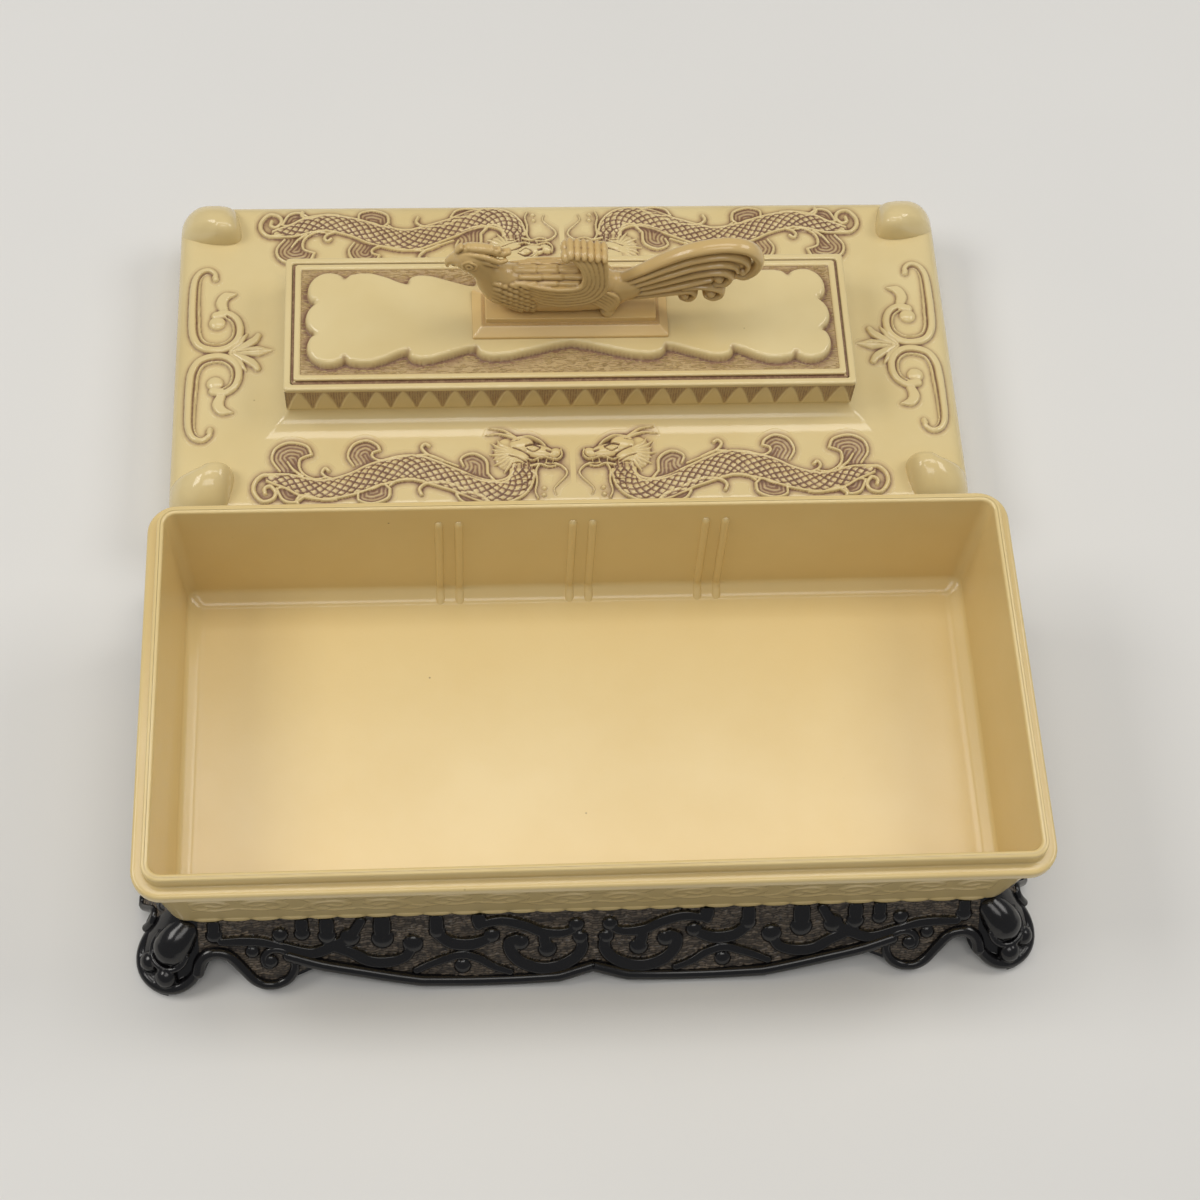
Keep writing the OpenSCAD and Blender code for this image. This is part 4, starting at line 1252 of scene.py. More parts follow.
@dataclass
class Stand:
    """Black stand: flared aprons with carved vines, a cusped moulding along their lower edge, and four feet."""

    top: tuple[float, float] = (119.3, 51.4)
    top_r: float = 6.0
    spread: tuple[float, float] = (130.8, 68.4)
    spread_r: float = 11.75
    top_z: float = 19.0
    low_z: float = 0.8
    plate_t: float = 2.5
    wall: float = 3.2
    reach: tuple[float, float] = (111.8, 49.4)
    moulding_r: float = 1.95
    lobe: tuple = (
        (0, 5.4), (4.5, 4.4), (10.6, 3.1), (19.7, 2.1), (28.7, 1.75), (38, 2.1), (46.8, 2.9), (56, 4.1),
        (66.8, 5.8), (77.6, 7.6), (86.6, 9.8),
    )
    curl: tuple = (
        (112.5, 6.5), (111.6, 8.9), (109.8, 10.4), (107, 11), (103.3, 10.2), (99.8, 7.3), (96.2, 4.2), (91.9, 3),
        (87.2, 4.2), (85, 7), (86, 9.8), (88.4, 11.2), (91.4, 11.3), (93.6, 9.8), (93.4, 8), (91.9, 7.6),
    )
    strokes: tuple = (
        (((3.6, 12.4), (3.2, 9.8), (5.1, 7.6), (9.4, 5.8), (14.8, 5.3), (20.2, 6.6), (23.6, 9.2), (24, 11.6),
          (22, 12.4)), 3.6),
        (((32.7, 15.9), (26.1, 16.6), (19.6, 15.4), (14.8, 13.8), (9.4, 13.4), (5.9, 14.2), (4.8, 15.6)), 3),
        (((14.4, 13.6), (13.3, 9.4)), 3.2),
        (((44.7, 14.2), (40.6, 11.9), (35.2, 11.4), (31, 12.3), (29, 13.2)), 3.6),
        (((50.5, 5.6), (46.7, 6.9), (41.9, 8.2), (37.7, 9), (32.9, 8), (28.7, 6), (23.9, 4.6)), 2.6),
        (((44.6, 18.4), (44.7, 14.2)), 3.6),
        (((32.7, 18.4), (32.6, 15.8)), 3.6),
        (((74.1, 11.8), (68.8, 10.2), (64, 8.2), (58.6, 7.8), (53.6, 8.9), (51.6, 11.4)), 3.4),
        (((88, 12), (80.2, 10.4), (74.1, 11.8), (69.2, 13.9), (66, 17.4)), 3.3),
        (((105.2, 13.6), (98.8, 13.6), (93.5, 13.2), (88, 12)), 2.8),
        (((60, 18.4), (60, 13.6)), 4.4), (((75.6, 18.4), (75.6, 14.6)), 3.8),
        (((82.6, 18.4), (82.6, 15.2)), 3.4), (((107.3, 18.4), (107.3, 15.2)), 3.2),
    )
    balls: tuple = (
        (20.9, 11.4, 2.4), (4.8, 15.2, 2.1), (13.1, 9.6, 2.5), (29, 13.2, 2.2), (37.4, 6.2, 2.2), (51.4, 11.7, 2.7),
        (69.2, 13.7, 2.7), (60, 13.2, 2.9), (75.6, 14.2, 2.4), (82.6, 14.9, 2.1), (88.8, 14.8, 2.1), (96.8, 11, 1.9),
        (91.9, 8.6, 2.1), (107.3, 15, 2.2), (3.7, 12.2, 2.1), (44.5, 14.6, 2.2),
    )

    def edge(self, x: Array, half: float) -> Array:
        """Height of an apron's lower edge.

        Args:
            x: Distance from the apron's middle.
            half: Half length of the cut under it.
        Returns:
            The height at each x; at the feet the apron ends inside them.
        """
        s = np.abs(x) * self.reach[0] / half
        line = np.array([*self.lobe[:10], *self.curl[8::-1]])
        line = line[np.argsort(line[:, 0])]
        return np.where(s > self.reach[0], 5.5, np.interp(s, line[:, 0], line[:, 1]))

    def shell(self) -> Draft:
        """Builds the plate and the aprons.

        Returns:
            A closed shell whose lower edge is cusped.
        """
        steps = (220, 100)
        top = ring(*self.top, self.top_r, self.top_z, 8, steps)
        foot = ring(*self.spread, self.spread_r, self.low_z, 8, steps)
        in_top = ring(self.top[0] - self.wall, self.top[1] - self.wall, 4.0, self.top_z, 8, steps)
        in_foot = ring(self.spread[0] - self.wall, self.spread[1] - self.wall, 8.6, self.low_z, 8, steps)
        long_side = np.abs(foot[:, 1]) > self.spread[1] - 0.01
        end_side = np.abs(foot[:, 0]) > self.spread[0] - 0.01
        z = np.full(len(top), self.low_z)
        z[long_side] = self.edge(foot[long_side, 0], self.reach[0])
        z[end_side] = self.edge(foot[end_side, 1], self.reach[1])
        share = ((self.top_z - z) / (self.top_z - self.low_z))[:, None]
        under = self.plate_t / (self.top_z - self.low_z)
        rings = [in_top + 0 * share]
        rings += [top + (foot - top) * share * t for t in np.linspace(0, 1, 10)]
        rings += [in_top + (in_foot - in_top) * (share * (1 - k) + under * k) for k in np.linspace(0, 1, 5)]
        return loft(rings[::-1])

    def place(self, axis: int) -> Callable[[Array, Array, Array], Array]:
        """Returns what puts a drawing on the front apron, for axis 1, or on the right one, for axis 0."""
        run = self.spread[axis] - self.top[axis]
        drop = self.top_z - self.low_z
        size = math.hypot(run, drop)

        def put(u: Array, z: Array, h: Array) -> Array:
            """Puts a point of the drawing on the sloping apron."""
            out = self.top[axis] + (self.top_z - z) / drop * run + h * drop / size
            up = z + h * run / size
            return np.stack([u, -out, up], 1) if axis else np.stack([out, u, up], 1)

        return put

    def vines(self, half: float, shrink: float, stretch: float, seed: int) -> tuple[Relief, Array]:
        """Draws the vines of an apron on their hatched ground, in the apron's own slope.

        Args:
            half: Half length of the drawing.
            shrink: How much the long apron's drawing is shortened.
            stretch: Length on the slope for each millimetre of height.
            seed: Seed of the hatching.
        Returns:
            The drawing, and how dusty the ground is, lighter on the crests of the hatching as painted glints.
        """
        relief = Relief((-half, 2.0 * stretch), (half, 18.6 * stretch), 0.26)
        thin = max(shrink, 0.72)
        for s in (-1, 1):
            for points, width in self.strokes:
                line = [(s * x * shrink, z * stretch) for x, z in points]
                relief.cord(line, width * thin * 1.22, 1.3, ends=(0.85, 1.0, 1.0, 0.8), flat=0.75)
            for x, z, r in self.balls:
                relief.dome((s * x * shrink, z * stretch), (r * thin * 1.15, r * thin * 1.15), 1.5, base=0.1)
        rng = np.random.default_rng(seed)
        gx, gy = relief.grid()
        wave = gy / 0.8 + 0.3 * np.sin(0.55 * gx) + 0.2 * np.sin(1.7 * gx + 1)
        row = np.clip(np.floor(wave).astype(int), 0, 63)
        run = gx / (1.6 + 3.0 * rng.random(64)[row]) + 7 * rng.random(64)[row] + 0.2 * np.sin(1.3 * gx + 2 * row)
        level = rng.random((64, 512))[row, np.floor(run).astype(int) % 512]
        ridge = np.sin(np.pi * np.mod(wave, 1)) * (0.25 + 0.75 * np.clip(np.sin(np.pi * np.mod(run, 1)) * 1.6, 0, 1))
        ground = relief.h < 0.3
        relief.h = np.maximum(relief.h, 0.45 * ridge * (0.15 + 0.85 * level))
        # dust share of the ground, raised on each hatch crest as a painted glint
        return relief, ground * np.clip(0.12 + 0.88 * ridge * (0.2 + 0.8 * level), 0, 1)

    def foot(self) -> Draft:
        """Builds the front left foot: an egg in a collar over two knuckles, held by a thick rim.

        Returns:
            The foot, in the stand's own frame.
        """
        f = Field((-132.0, -70.0, -1.0), (-103.0, -41.0, 19.5), 0.4)
        x, y = -119.6, -57.3

        def arc(reach: float, low: float, rise: float, r: float, first: float, last: float) -> list:
            """Returns a tube round the foot that climbs at both ends."""
            turns = np.radians(np.linspace(first, last, 13))
            return [
                (x + reach * math.cos(a), y + reach * math.sin(a), low + rise * abs(t) ** 3, r * (1 - 0.25 * t**4))
                for a, t in zip(turns, np.linspace(-1, 1, 13))
            ]

        f.ball((x, y, 1.8), (9.3, 9.3, 3.6))
        f.tube([(-110.5, -48.5, 11.5, 4.6), (-115.5, -53.0, 7.5, 5.6), (x, y, 3.5, 6.0)], 1.2)
        f.tube(arc(9.2, 1.95, 5.6, 1.85, 126, 322), 0.3)
        for turn, reach, r in ((196, 6.5, 3.2), (254, 6.6, 3.4)):
            a = math.radians(turn)
            f.ball((x + reach * math.cos(a), y + reach * math.sin(a), 5.0), (r, r, r + 0.3), 0.15)
        f.tube(arc(5.7, 8.0, 4.2, 0.95, 125, 325), 0.15)
        f.tube([(-115.2, -52.8, 14.2, 4.2), (-117.8, -55.5, 12.4, 5.3), (-119.4, -57.1, 11.0, 5.3)], 0.1)
        f.above(0.02)
        return f.mesh()

    def build(self, sweep: Grower, skin: Finishes) -> None:
        """Makes the stand's pieces.

        Args:
            sweep: The tree that sweeps a moulding.
            skin: The finishes.
        """
        self.shell().to_piece("stand_shell", skin.ebony, Part.STAND, 30)
        for names, axis, half, shrink in ((("front", "back"), 1, 112.0, 1.0), (("right", "left"), 0, 48.5, 0.43)):
            put = self.place(axis)
            drop = self.top_z - self.low_z
            stretch = math.hypot(self.spread[axis] - self.top[axis], drop) / drop
            relief, dust_and_glint = self.vines(half, shrink, stretch, 11 + axis)
            gx, gy = relief.grid()
            low = (self.edge(gx, self.reach[1 - axis]) + 0.3) * stretch
            relief.h = np.where(gy > low, relief.h, -0.5)
            drawn = relief.mesh(lambda u, w, h: put(u, w / stretch, h), np.where(gy > low, dust_and_glint, 0), everywhere=True)
            keep = (gy > low - 0.5).ravel()
            drawn.quads = drawn.quads[keep[drawn.quads].all(1)]
            for name, s in zip(names, (1, -1)):
                drawn.mirrored(s, s).to_piece(f"stand_vines_{name}", skin.ebony, Part.STAND, 80)
        edges = []
        for axis, shrink, radius in ((1, 1.0, self.moulding_r), (0, self.reach[1] / self.reach[0], 1.3)):
            put = self.place(axis)
            for s in (-1, 1):
                for line, share in ((self.lobe, (1, 1)), (self.curl, (1, 0.6))):
                    p = curve([(x * shrink, z) for x, z in line], 0.8)
                    path = put(s * p[:, 0], p[:, 1], np.full(len(p), 0.3))
                    path[:, 2] = np.maximum(path[:, 2], radius + 0.05)
                    limit = self.spread[axis] - radius - 0.05
                    path[:, axis] = np.clip(path[:, axis], -limit, limit)
                    seats = seats_mesh(path, np.linspace(*share, len(p)))
                    grown = sweep.grow(seats, Radius=radius * MM, Sides=14, Ball=1.0, Finish=skin.ebony)
                    edges += [grown, grown.mirrored(-1, -1)]
        Draft.joined(edges).to_piece("stand_mouldings", skin.ebony, Part.STAND, 60)
        self.foot().four_quarters().to_piece("stand_feet", skin.ebony, Part.STAND, 70)


# ---- lid


@dataclass
class Lid:
    """Moulded lid: shoulder, border, cove and crown, with corner horns, dragons, scrolls and petals."""

    edge: tuple[float, float] = (125.0, 59.5)
    edge_r: float = 8.5
    wall: float = 2.8
    skirt_z: float = 18.4
    shoulder_run: float = 5.5
    shoulder_z: float = 23.6
    border_z: float = 24.4
    cove: tuple[float, float] = (98.4, 34.2)
    cove_run: float = 10.0
    cove_rise: float = 4.6
    crown: tuple[float, float] = (88.4, 24.2)
    crown_foot_z: float = 29.0
    recess_z: float = 39.0
    crown_under_z: float = 36.6
    petal_pitch: float = 7.9

    def border_height(self, inset: Array) -> Array:
        """Height of the shoulder and border at a distance in from the lid's edge."""
        t = np.clip(inset / self.shoulder_run, 0, 1)
        rise = (self.shoulder_z - self.skirt_z) * np.sqrt(np.clip(1 - (1 - t) ** 2, 0, 1))
        slope = (self.border_z - self.shoulder_z) * np.clip((inset - self.shoulder_run) / 18.5, 0, 1)
        return self.skirt_z + rise + slope

    def surface(self, x: Array, y: Array) -> Array:
        """Height of the lid's top.

        Args:
            x, y: Places from the lid's middle.
        Returns:
            The height at each place, up to the crown's foot.
        """
        ax, ay = np.abs(x), np.abs(y)
        qx, qy = ax - self.edge[0] + self.edge_r, ay - self.edge[1] + self.edge_r
        outside = np.hypot(np.maximum(qx, 0), np.maximum(qy, 0)) + np.minimum(np.maximum(qx, qy), 0) - self.edge_r
        c = np.clip(np.minimum(self.cove[0] - ax, self.cove[1] - ay) / self.cove_run, 0, 1)
        return self.border_height(-outside) + self.cove_rise * (1 - np.sqrt(np.clip(1 - c * c, 0, 1)))

    def place(self, x: Array, y: Array, h: Array) -> Array:
        """Puts points of a drawing on the lid."""
        return np.stack([x, y, self.surface(x, y) + h], 1)

    def shell(self) -> Draft:
        """Builds the lid from the underside of its crown out over its walls to the recess.

        Returns:
            A closed shell.
        """
        ex, ey = self.edge
        w = self.wall
        rings = [ring(self.crown[0] - w, self.crown[1] - w, 1.2, self.crown_under_z)]
        for c in np.linspace(1, 0, 7):
            z = self.border_z - w + self.cove_rise * (1 - math.sqrt(1 - c * c))
            rings.append(ring(self.cove[0] - w - 10 * c, self.cove[1] - w - 10 * c, 1.2, z))
        for t in np.linspace(0, 1, 6):
            i = 3.2 * (1 - math.sin(t * math.pi / 2))
            rings.append(ring(ex - w - i, ey - w - i, 5.7 - i, 18.4 + 3.2 * math.cos(t * math.pi / 2)))
        rings += [ring(ex - w, ey - w, 5.7, 0.4), ring(ex - w + 0.4, ey - w + 0.4, 6.1, 0.0)]
        rings += [ring(ex - 0.7, ey - 0.7, 7.8, 0.0), ring(ex - 0.2, ey - 0.2, 8.3, 0.25), ring(ex, ey, 8.5, 0.8)]
        rings += [ring(ex, ey, 8.5, 2.0), ring(ex, ey, 8.5, 15.0)]
        insets = [self.shoulder_run * (1 - math.cos(a)) for a in np.linspace(0, math.pi / 2, 12)]
        insets += [6.2, 8.0, 12.0, 17.0, 21.0, 23.6]
        for i in insets:
            rings.append(ring(ex - i, ey - i, max(self.edge_r - i, 0.7), float(self.border_height(np.array(i)))))
        for c in np.linspace(0, 0.99, 14):
            z = self.border_z + self.cove_rise * (1 - math.sqrt(1 - c * c))
            rings.append(ring(self.cove[0] - 10 * c, self.cove[1] - 10 * c, 1.0, z))
        cx, cy = self.crown
        corners = [
            (cx, cy, 1, self.crown_foot_z), (cx, cy, 1, 39.1), (cx + 0.45, cy + 0.45, 1.4, 39.4),
            (cx + 0.45, cy + 0.45, 1.4, 41), (cx - 1.75, cy - 1.75, 0.8, 41),
            (cx - 1.75, cy - 1.75, 0.8, self.recess_z), (cx - 4, cy - 4, 0.6, self.recess_z),
        ]
        rings += [ring(*p) for p in rounded_path(corners, (0, 0.15, 0.12, 0.8, 0.7, 0.2, 0))]
        return loft(rings)

    def horn(self) -> Draft:
        """Builds the horn at the right back corner: half an egg, steep towards the lid's middle.

        Returns:
            Its skin, sunk a little into the lid.
        """
        peak, high = np.array([111.5, 47.0]), 7.9
        inner = curve(
            [(125, 47.6), (123, 45.6), (120, 44), (115, 42.6), (109.5, 42), (106.2, 42.7), (104.8, 44.6), (104.9, 47.6),
             (105.5, 51), (106.6, 55), (108.8, 58), (112.4, 59.45)], 0.5,
        )
        a = np.linspace(math.pi / 2, 0, 12)
        line = np.vstack([inner, np.stack([116.5 + 8.5 * np.cos(a), 51 + 8.5 * np.sin(a)], 1)]) - peak
        line = finer(line)
        turn = np.linspace(0, 2 * math.pi, 80, endpoint=False)
        reach = np.interp(turn, np.arctan2(line[:, 1], line[:, 0]), np.hypot(*line.T), period=2 * math.pi)
        outward = ease((np.cos(turn - 0.73) + 0.65) / 1.5)
        rings = []
        for s in np.sin(np.linspace(math.pi / 2, 0.03, 20)):
            x, y = peak[0] + 0.995 * s * reach * np.cos(turn), peak[1] + 0.995 * s * reach * np.sin(turn)
            rise = outward * (1 - s * s) ** 1.15 + (1 - outward) * math.sqrt(1 - s**3)
            rings.append(np.stack([x, y, self.surface(x, y) + high * rise - 0.3 * s**12], 1))
        return loft(rings, (False, True))

    def petal_unit(self) -> Draft:
        """Builds one pointed petal with half a hatched dart at each side, on a wall that faces -Y.

        Returns:
            The unit, with its middle at x 0 and its foot at z 0.
        """
        half, high = self.petal_pitch / 2, 10.2
        x, t = np.meshgrid(np.linspace(-half, half, 41), np.linspace(0, 1, 21))
        d = half * 0.985 * (1 - t) ** 0.68 - np.abs(x)
        hatch = 0.5 + 0.5 * np.cos(2 * np.pi * x / 0.79)
        petal = 0.14 + 0.24 * np.clip(d / 0.6, 0, 1) + 0.1 * np.exp(-(((d - 0.4) / 0.3) ** 2))
        proud = np.where(d > 0, petal, 0.14 * hatch) * np.clip(t / 0.08, 0, 1)
        mark = np.where(d > 0, np.clip(0.2 - 0.8 * d, 0, 1), 0.26 + 0.26 * np.clip(-d / 0.4, 0, 1) * (1 - 0.6 * hatch))
        points = np.stack([x.ravel(), -proud.ravel(), high * t.ravel()], 1)
        return Draft(points, sheet_quads(*x.shape)[:, [0, 3, 2, 1]], stain=(mark * np.clip(t * 8 - 0.2, 0, 1)).ravel())

    def petals(self, rows: Grower, skin: Finishes) -> Draft:
        """Repeats the petals round the crown.

        Args:
            rows: The tree that repeats a unit.
            skin: The finishes.
        Returns:
            All petals.
        """
        out = []
        for along, turn in ((0, 0.0), (1, math.pi / 2)):
            count = round(2 * self.crown[along] / self.petal_pitch)
            pitch = 2 * self.crown[along] / count
            unit = self.petal_unit()
            unit.points[:, 0] *= pitch / self.petal_pitch
            away = self.crown[1 - along]
            out += rows_on_sides(rows, unit, count, pitch, away, turn, self.crown_foot_z, skin.ivory)
        return Draft.joined(out)

    def dragon(self) -> Draft:
        """Draws the front left dragon.

        Returns:
            Its skin on the lid.
        """
        r = Relief((-101.0, -58.2), (-0.6, -28.6), 0.21)
        line = [
            (-94.3, -45.9, 1.2), (-91, -46.7, 1.9), (-87.7, -47.5, 2.5), (-83.1, -49.5, 3.1), (-78.6, -50.4, 3.2),
            (-74.6, -50.1, 3.3), (-70.1, -49, 3.5), (-66.1, -47.6, 3.7), (-62.2, -45.7, 3.9), (-57.6, -44.3, 4.1),
            (-53, -43.2, 4.2), (-48.3, -43.3, 4.2), (-43.7, -44.9, 4), (-39.8, -46.5, 3.8), (-35.9, -48.1, 3.6),
            (-31.9, -50.1, 3.6), (-27.4, -51.7, 3.8), (-22.8, -52.1, 3.9), (-18.6, -50.6, 3.9), (-16.2, -47.6, 3.7),
            (-15.8, -44.2, 3.5),
        ]
        spine = curve(line, 0.2)
        r.scales(spine, 1.0, 3.1, 2.4)
        for s in (-1, 1):
            side = spine[:, :2] + s * spine[:, 2:] * left_of(spine)
            r.cord(side[::8], 1.05, 1.0)
        volute = [
            (-92.4, -45.4), (-95.9, -45.1), (-98.4, -47.7), (-98.4, -51.1), (-95.9, -54), (-92.8, -53.3),
            (-91.9, -50.9), (-93.6, -48.8), (-95.3, -49.6), (-95.1, -51.3),
        ]
        r.cord(volute, 1.5, 1.05, ends=(1.1, 0.9))
        fans = [
            ([(-90.7, -43.7), (-93.1, -39.8), (-92.2, -36), (-88, -33.8), (-82.7, -35), (-81, -38.1)],
             [(-81, -38.1), (-83.3, -38.9), (-84.7, -40), (-84.7, -42.7), (-83.2, -45), (-80.2, -46.5),
              (-76.6, -46.2)]),
            ([(-68.1, -42.2), (-69.8, -38.7), (-68.1, -34.9), (-64.2, -33.4), (-60.9, -35), (-59.9, -36.9)],
             [(-59.9, -36.9), (-62.1, -37.7), (-62.2, -39.2), (-60.2, -40.4), (-56.9, -40.2), (-52.9, -39.4),
              (-48.3, -38.7)]),
            ([(-34.1, -42.8), (-34.7, -40.1), (-31, -38.6), (-27.1, -41), (-26.6, -45.6)],
             [(-26.6, -45.6), (-24.6, -48.4), (-28.5, -48.2), (-33, -46.4)]),
            ([(-66.6, -51.3), (-66.3, -54.2), (-62.2, -55.4), (-57.6, -53.6), (-56.9, -50.4)],
             [(-56.9, -50.4), (-58.9, -48.8), (-62, -50.2), (-66.6, -51.3)]),
            ([(-36.5, -52.6), (-34.5, -55.2), (-30.5, -56.2), (-26.6, -55.2)],
             [(-26.6, -55.2), (-28.5, -53.6), (-32.5, -52.2), (-36.5, -52.6)]),
            ([(-91.6, -49.6), (-89.6, -53.6), (-86.2, -54.6), (-83.2, -52.8)],
             [(-83.2, -52.8), (-86, -51.4), (-89, -49.6), (-91.6, -49.6)]),
        ]
        for outer, inner in fans:
            r.fan(outer, inner, 0.5, 1.25)
        cords = [
            [(-74, -46.7), (-76.6, -45.8), (-77.8, -44.3), (-76.8, -42.9), (-75.7, -43.8)],
            [(-35.8, -42.8), (-41.7, -40.3), (-45.3, -38.4), (-47, -36.2), (-45.9, -34.9), (-44.6, -35.6)],
            [(-26.6, -45.6), (-24, -48.7), (-20.7, -48.4), (-18.9, -45)],
            [(-56.9, -49.2), (-54.3, -47.5), (-50.4, -47.2), (-46.4, -48.1)],
            [(-33.9, -51.2), (-37.2, -49.4), (-41.8, -48.4), (-45.8, -48.8), (-47.8, -50.5), (-47.2, -52.5)],
            [(-73.3, -53.7), (-77.2, -53.9), (-81.1, -52.7), (-84.1, -52.4), (-85.4, -53.8), (-85.1, -55.1)],
            [(-48.3, -38.7), (-44.5, -38.9), (-40.5, -40.8)],
            [(-88.4, -40.5), (-86.6, -43.2), (-83.8, -45.6)],
        ]
        for points in cords:
            r.cord(points, 1.25, 1.05, ends=(0.7, 1.05))
        self.dragon_head(r)
        stain = r.stain(0.85, 1.7)
        haze = np.exp(-(((r.grid()[0] + 1) / 6.5) ** 2 + ((r.grid()[1] + 43.5) / 4.2) ** 2))
        stain = np.clip(stain + 0.16 * haze * (r.h < 0.05), 0, 1)
        return r.mesh(self.place, stain)

    @staticmethod
    def dragon_head(r: Relief) -> None:
        """Draws the head, mane, horns and whisker of the front left dragon.

        Args:
            r: The drawing.
        """
        r.dome((-20.2, -38.8), (4.4, 5.8), 1.0)
        for k, a in enumerate(np.radians(np.linspace(138, 262, 9))):
            far = 7.6 if k % 2 else 6.6
            tip = (-18.4 + far * math.cos(a), -38.4 + far * math.sin(a))
            bend = (-18.4 + 4.6 * math.cos(a + 0.12), -38.4 + 4.6 * math.sin(a + 0.12))
            r.cord([(-17.6, -38.4), bend, tip], 1.75, 1.3, ends=(1.0, 1.0, 0.3))
        for tip, bend in (((-27.2, -32.2), (-22.4, -31.8)), ((-26.0, -29.8), (-21.4, -30.6))):
            r.cord([(-17.2, -33.6), bend, tip], 1.3, 1.1, ends=(1.2, 0.3))
        r.dome((-16.0, -35.8), (4.2, 3.4), 1.75, 20)
        r.dome((-17.0, -39.8), (3.6, 3.2), 1.6)
        r.dome((-10.6, -38.2), (5.0, 2.5), 1.7, -8)
        r.dome((-5.6, -38.9), (2.3, 1.8), 1.75, 30)
        r.cord([(-17.4, -33.4), (-13.6, -33.2), (-10.2, -34.8), (-8.6, -36.4)], 1.3, 1.95, ends=(0.5, 1.1, 0.8))
        r.cord(
            [(-3.6, -37.6), (-3.4, -39.6), (-4.6, -41), (-6.3, -41), (-8.4, -40.4), (-10.5, -40.6), (-12.6, -41.4),
             (-15, -40.6)], 1.1, 1.75, ends=(0.7, 0.7),
        )
        cuts = [
            ([(-14.6, -36.6), (-12.4, -35.9), (-10.2, -37)], 1.3, 0.9),
            ([(-14.2, -37.4), (-12.2, -38.6), (-10.2, -37.6)], 0.8, 0.7),
            ([(-18.6, -37), (-15.6, -38.4), (-13.6, -39.6)], 0.8, 0.6),
            ([(-20, -39.6), (-17.4, -40.6), (-14.6, -42)], 0.8, 0.6),
            ([(-19.4, -34.8), (-16.4, -34.4)], 0.6, 0.5),
            ([(-18.8, -42.4), (-16.6, -42.2), (-14.6, -43.2)], 0.7, 0.5),
        ]
        for line, width, depth in cuts:
            r.groove(line, width, depth, (0.5, 0.8))
        r.dome((-12.2, -37.2), (1.0, 0.75), 1.75)
        r.groove([(-8.0, -38.2), (-6.9, -38.6)], 1.1, 0.7)
        r.cord([(-5.4, -43.2), (-7.6, -43.5), (-10.2, -42.6), (-13.0, -43.2)], 1.1, 1.2, ends=(0.6, 1.0))
        for x, y in ((-6.2, -41.8), (-8.2, -41.5), (-10.8, -41.7)):
            r.cord([(x, y + 0.4), (x - 0.15, y - 0.7)], 0.6, 1.2, ends=(1, 0.3))
        r.cord([(-8.6, -42.3), (-6.4, -42.4), (-5.0, -42.1)], 0.7, 0.9, ends=(1, 0.5))
        jaw = [(-10.4, -42.6), (-11.5, -44.6), (-11.4, -48.7), (-12, -52), (-11.2, -54.4)]
        r.cord(jaw, 1.2, 1.3, ends=(0.7, 0.6))
        for y in (-46.2, -47.9, -49.6, -51.3):
            r.groove([(-12.3, y), (-14.6, y - 0.5), (-17.0, y - 0.2)], 0.55, 0.4, (1, 0.3))
        r.dome((-9.2, -50.9), (0.75, 0.75), 0.9)
        r.dome((-9.4, -53.2), (0.75, 0.75), 0.9)
        whisker = [
            (-5.6, -42.4), (-3.6, -43.2), (-2, -45.1), (-2.5, -46.9), (-4.9, -49.5), (-6.2, -51.3), (-5.6, -53.3),
        ]
        r.cord(whisker, 0.9, 0.85, ends=(1.1, 0.5))

    def scroll(self) -> Draft:
        """Draws the scroll on the left border.

        Returns:
            Its skin on the lid.
        """
        r = Relief((-122.5, -37.0), (-91.5, 37.0), 0.22)
        band = [
            (-112.6, 28.3), (-113.2, 30.6), (-115.2, 31.8), (-117.6, 30.6), (-118.9, 27.2), (-119.1, 20), (-118.9, 13),
            (-118.4, 7.2), (-116.4, 3.4), (-112.6, 1.9), (-108.6, 2.3), (-105.6, 5), (-104.8, 8.8), (-106, 12.6),
            (-109, 14.7), (-112, 14.2),
        ]
        middle = curve(band, 1.0)
        line = (middle + 0.8 * left_of(middle))[2:-4]
        leaves = [
            ([(-109.6, 16.2), (-110.4, 19), (-109.2, 21.4), (-105.9, 22.3)], 3.8, 0.95, (0.8, 1, 0.9, 0.25)),
            ([(-107, 0.6), (-104.2, 3.6), (-102, 6.9)], 2.4, 0.9, (0.5, 1, 0.35)),
            ([(-106, 0.5), (-102.2, 2.6), (-99.6, 4.4), (-98.4, 6.2)], 2.7, 1, (0.4, 0.9, 1.1, 0.8)),
        ]
        for s in (1, -1):
            r.cord([(x, s * y) for x, y in band], 4.0, 1.15, ends=(0.5, 0.85, 1.0, 1.0, 0.95, 0.8), flat=1.1)
            r.dome((-111.6, s * 11.4), (2.7, 2.6), 1.3)
            for points, width, height, ends in leaves:
                r.cord([(x, s * y) for x, y in points], width, height, ends=ends, flat=0.8)
            r.groove([(x, s * y) for x, y in line], 1.2, 1.0, (0.7, 1.0, 1.0, 0.8))
        r.cord([(-107.5, 0), (-101.5, 0.3), (-97.6, 0.4), (-93.6, 0.4)], 3.8, 1.15, ends=(0.25, 0.8, 1.1, 0.15))
        r.groove([(-105, 0.1), (-99.5, 0.5), (-96, 0.5)], 0.6, 0.35, (1, 0.4))
        return r.mesh(self.place, r.stain(0.75, 1.4))

    def build(self, rows: Grower, skin: Finishes) -> None:
        """Makes the lid's pieces.

        Args:
            rows: The tree that repeats a unit.
            skin: The finishes.
        """
        def dress(draft: Draft, name: str, sharp: float = 80) -> None:
            """Makes a piece of the lid."""
            draft.to_piece(name, skin.ivory, Part.SHELL, sharp)

        dress(Draft.joined([self.shell(), self.horn().four_quarters()]), "lid_moulding", 42)
        dress(self.petals(rows, skin), "lid_petals", 70)
        dragon, scroll = self.dragon(), self.scroll()
        for name, x, y in (("front_left", 1, 1), ("front_right", -1, 1), ("back_left", 1, -1), ("back_right", -1, -1)):
            dress(dragon.mirrored(x, y), f"dragon_{name}")
        dress(Draft.joined([scroll, scroll.mirrored(-1, 1)]), "lid_scrolls")


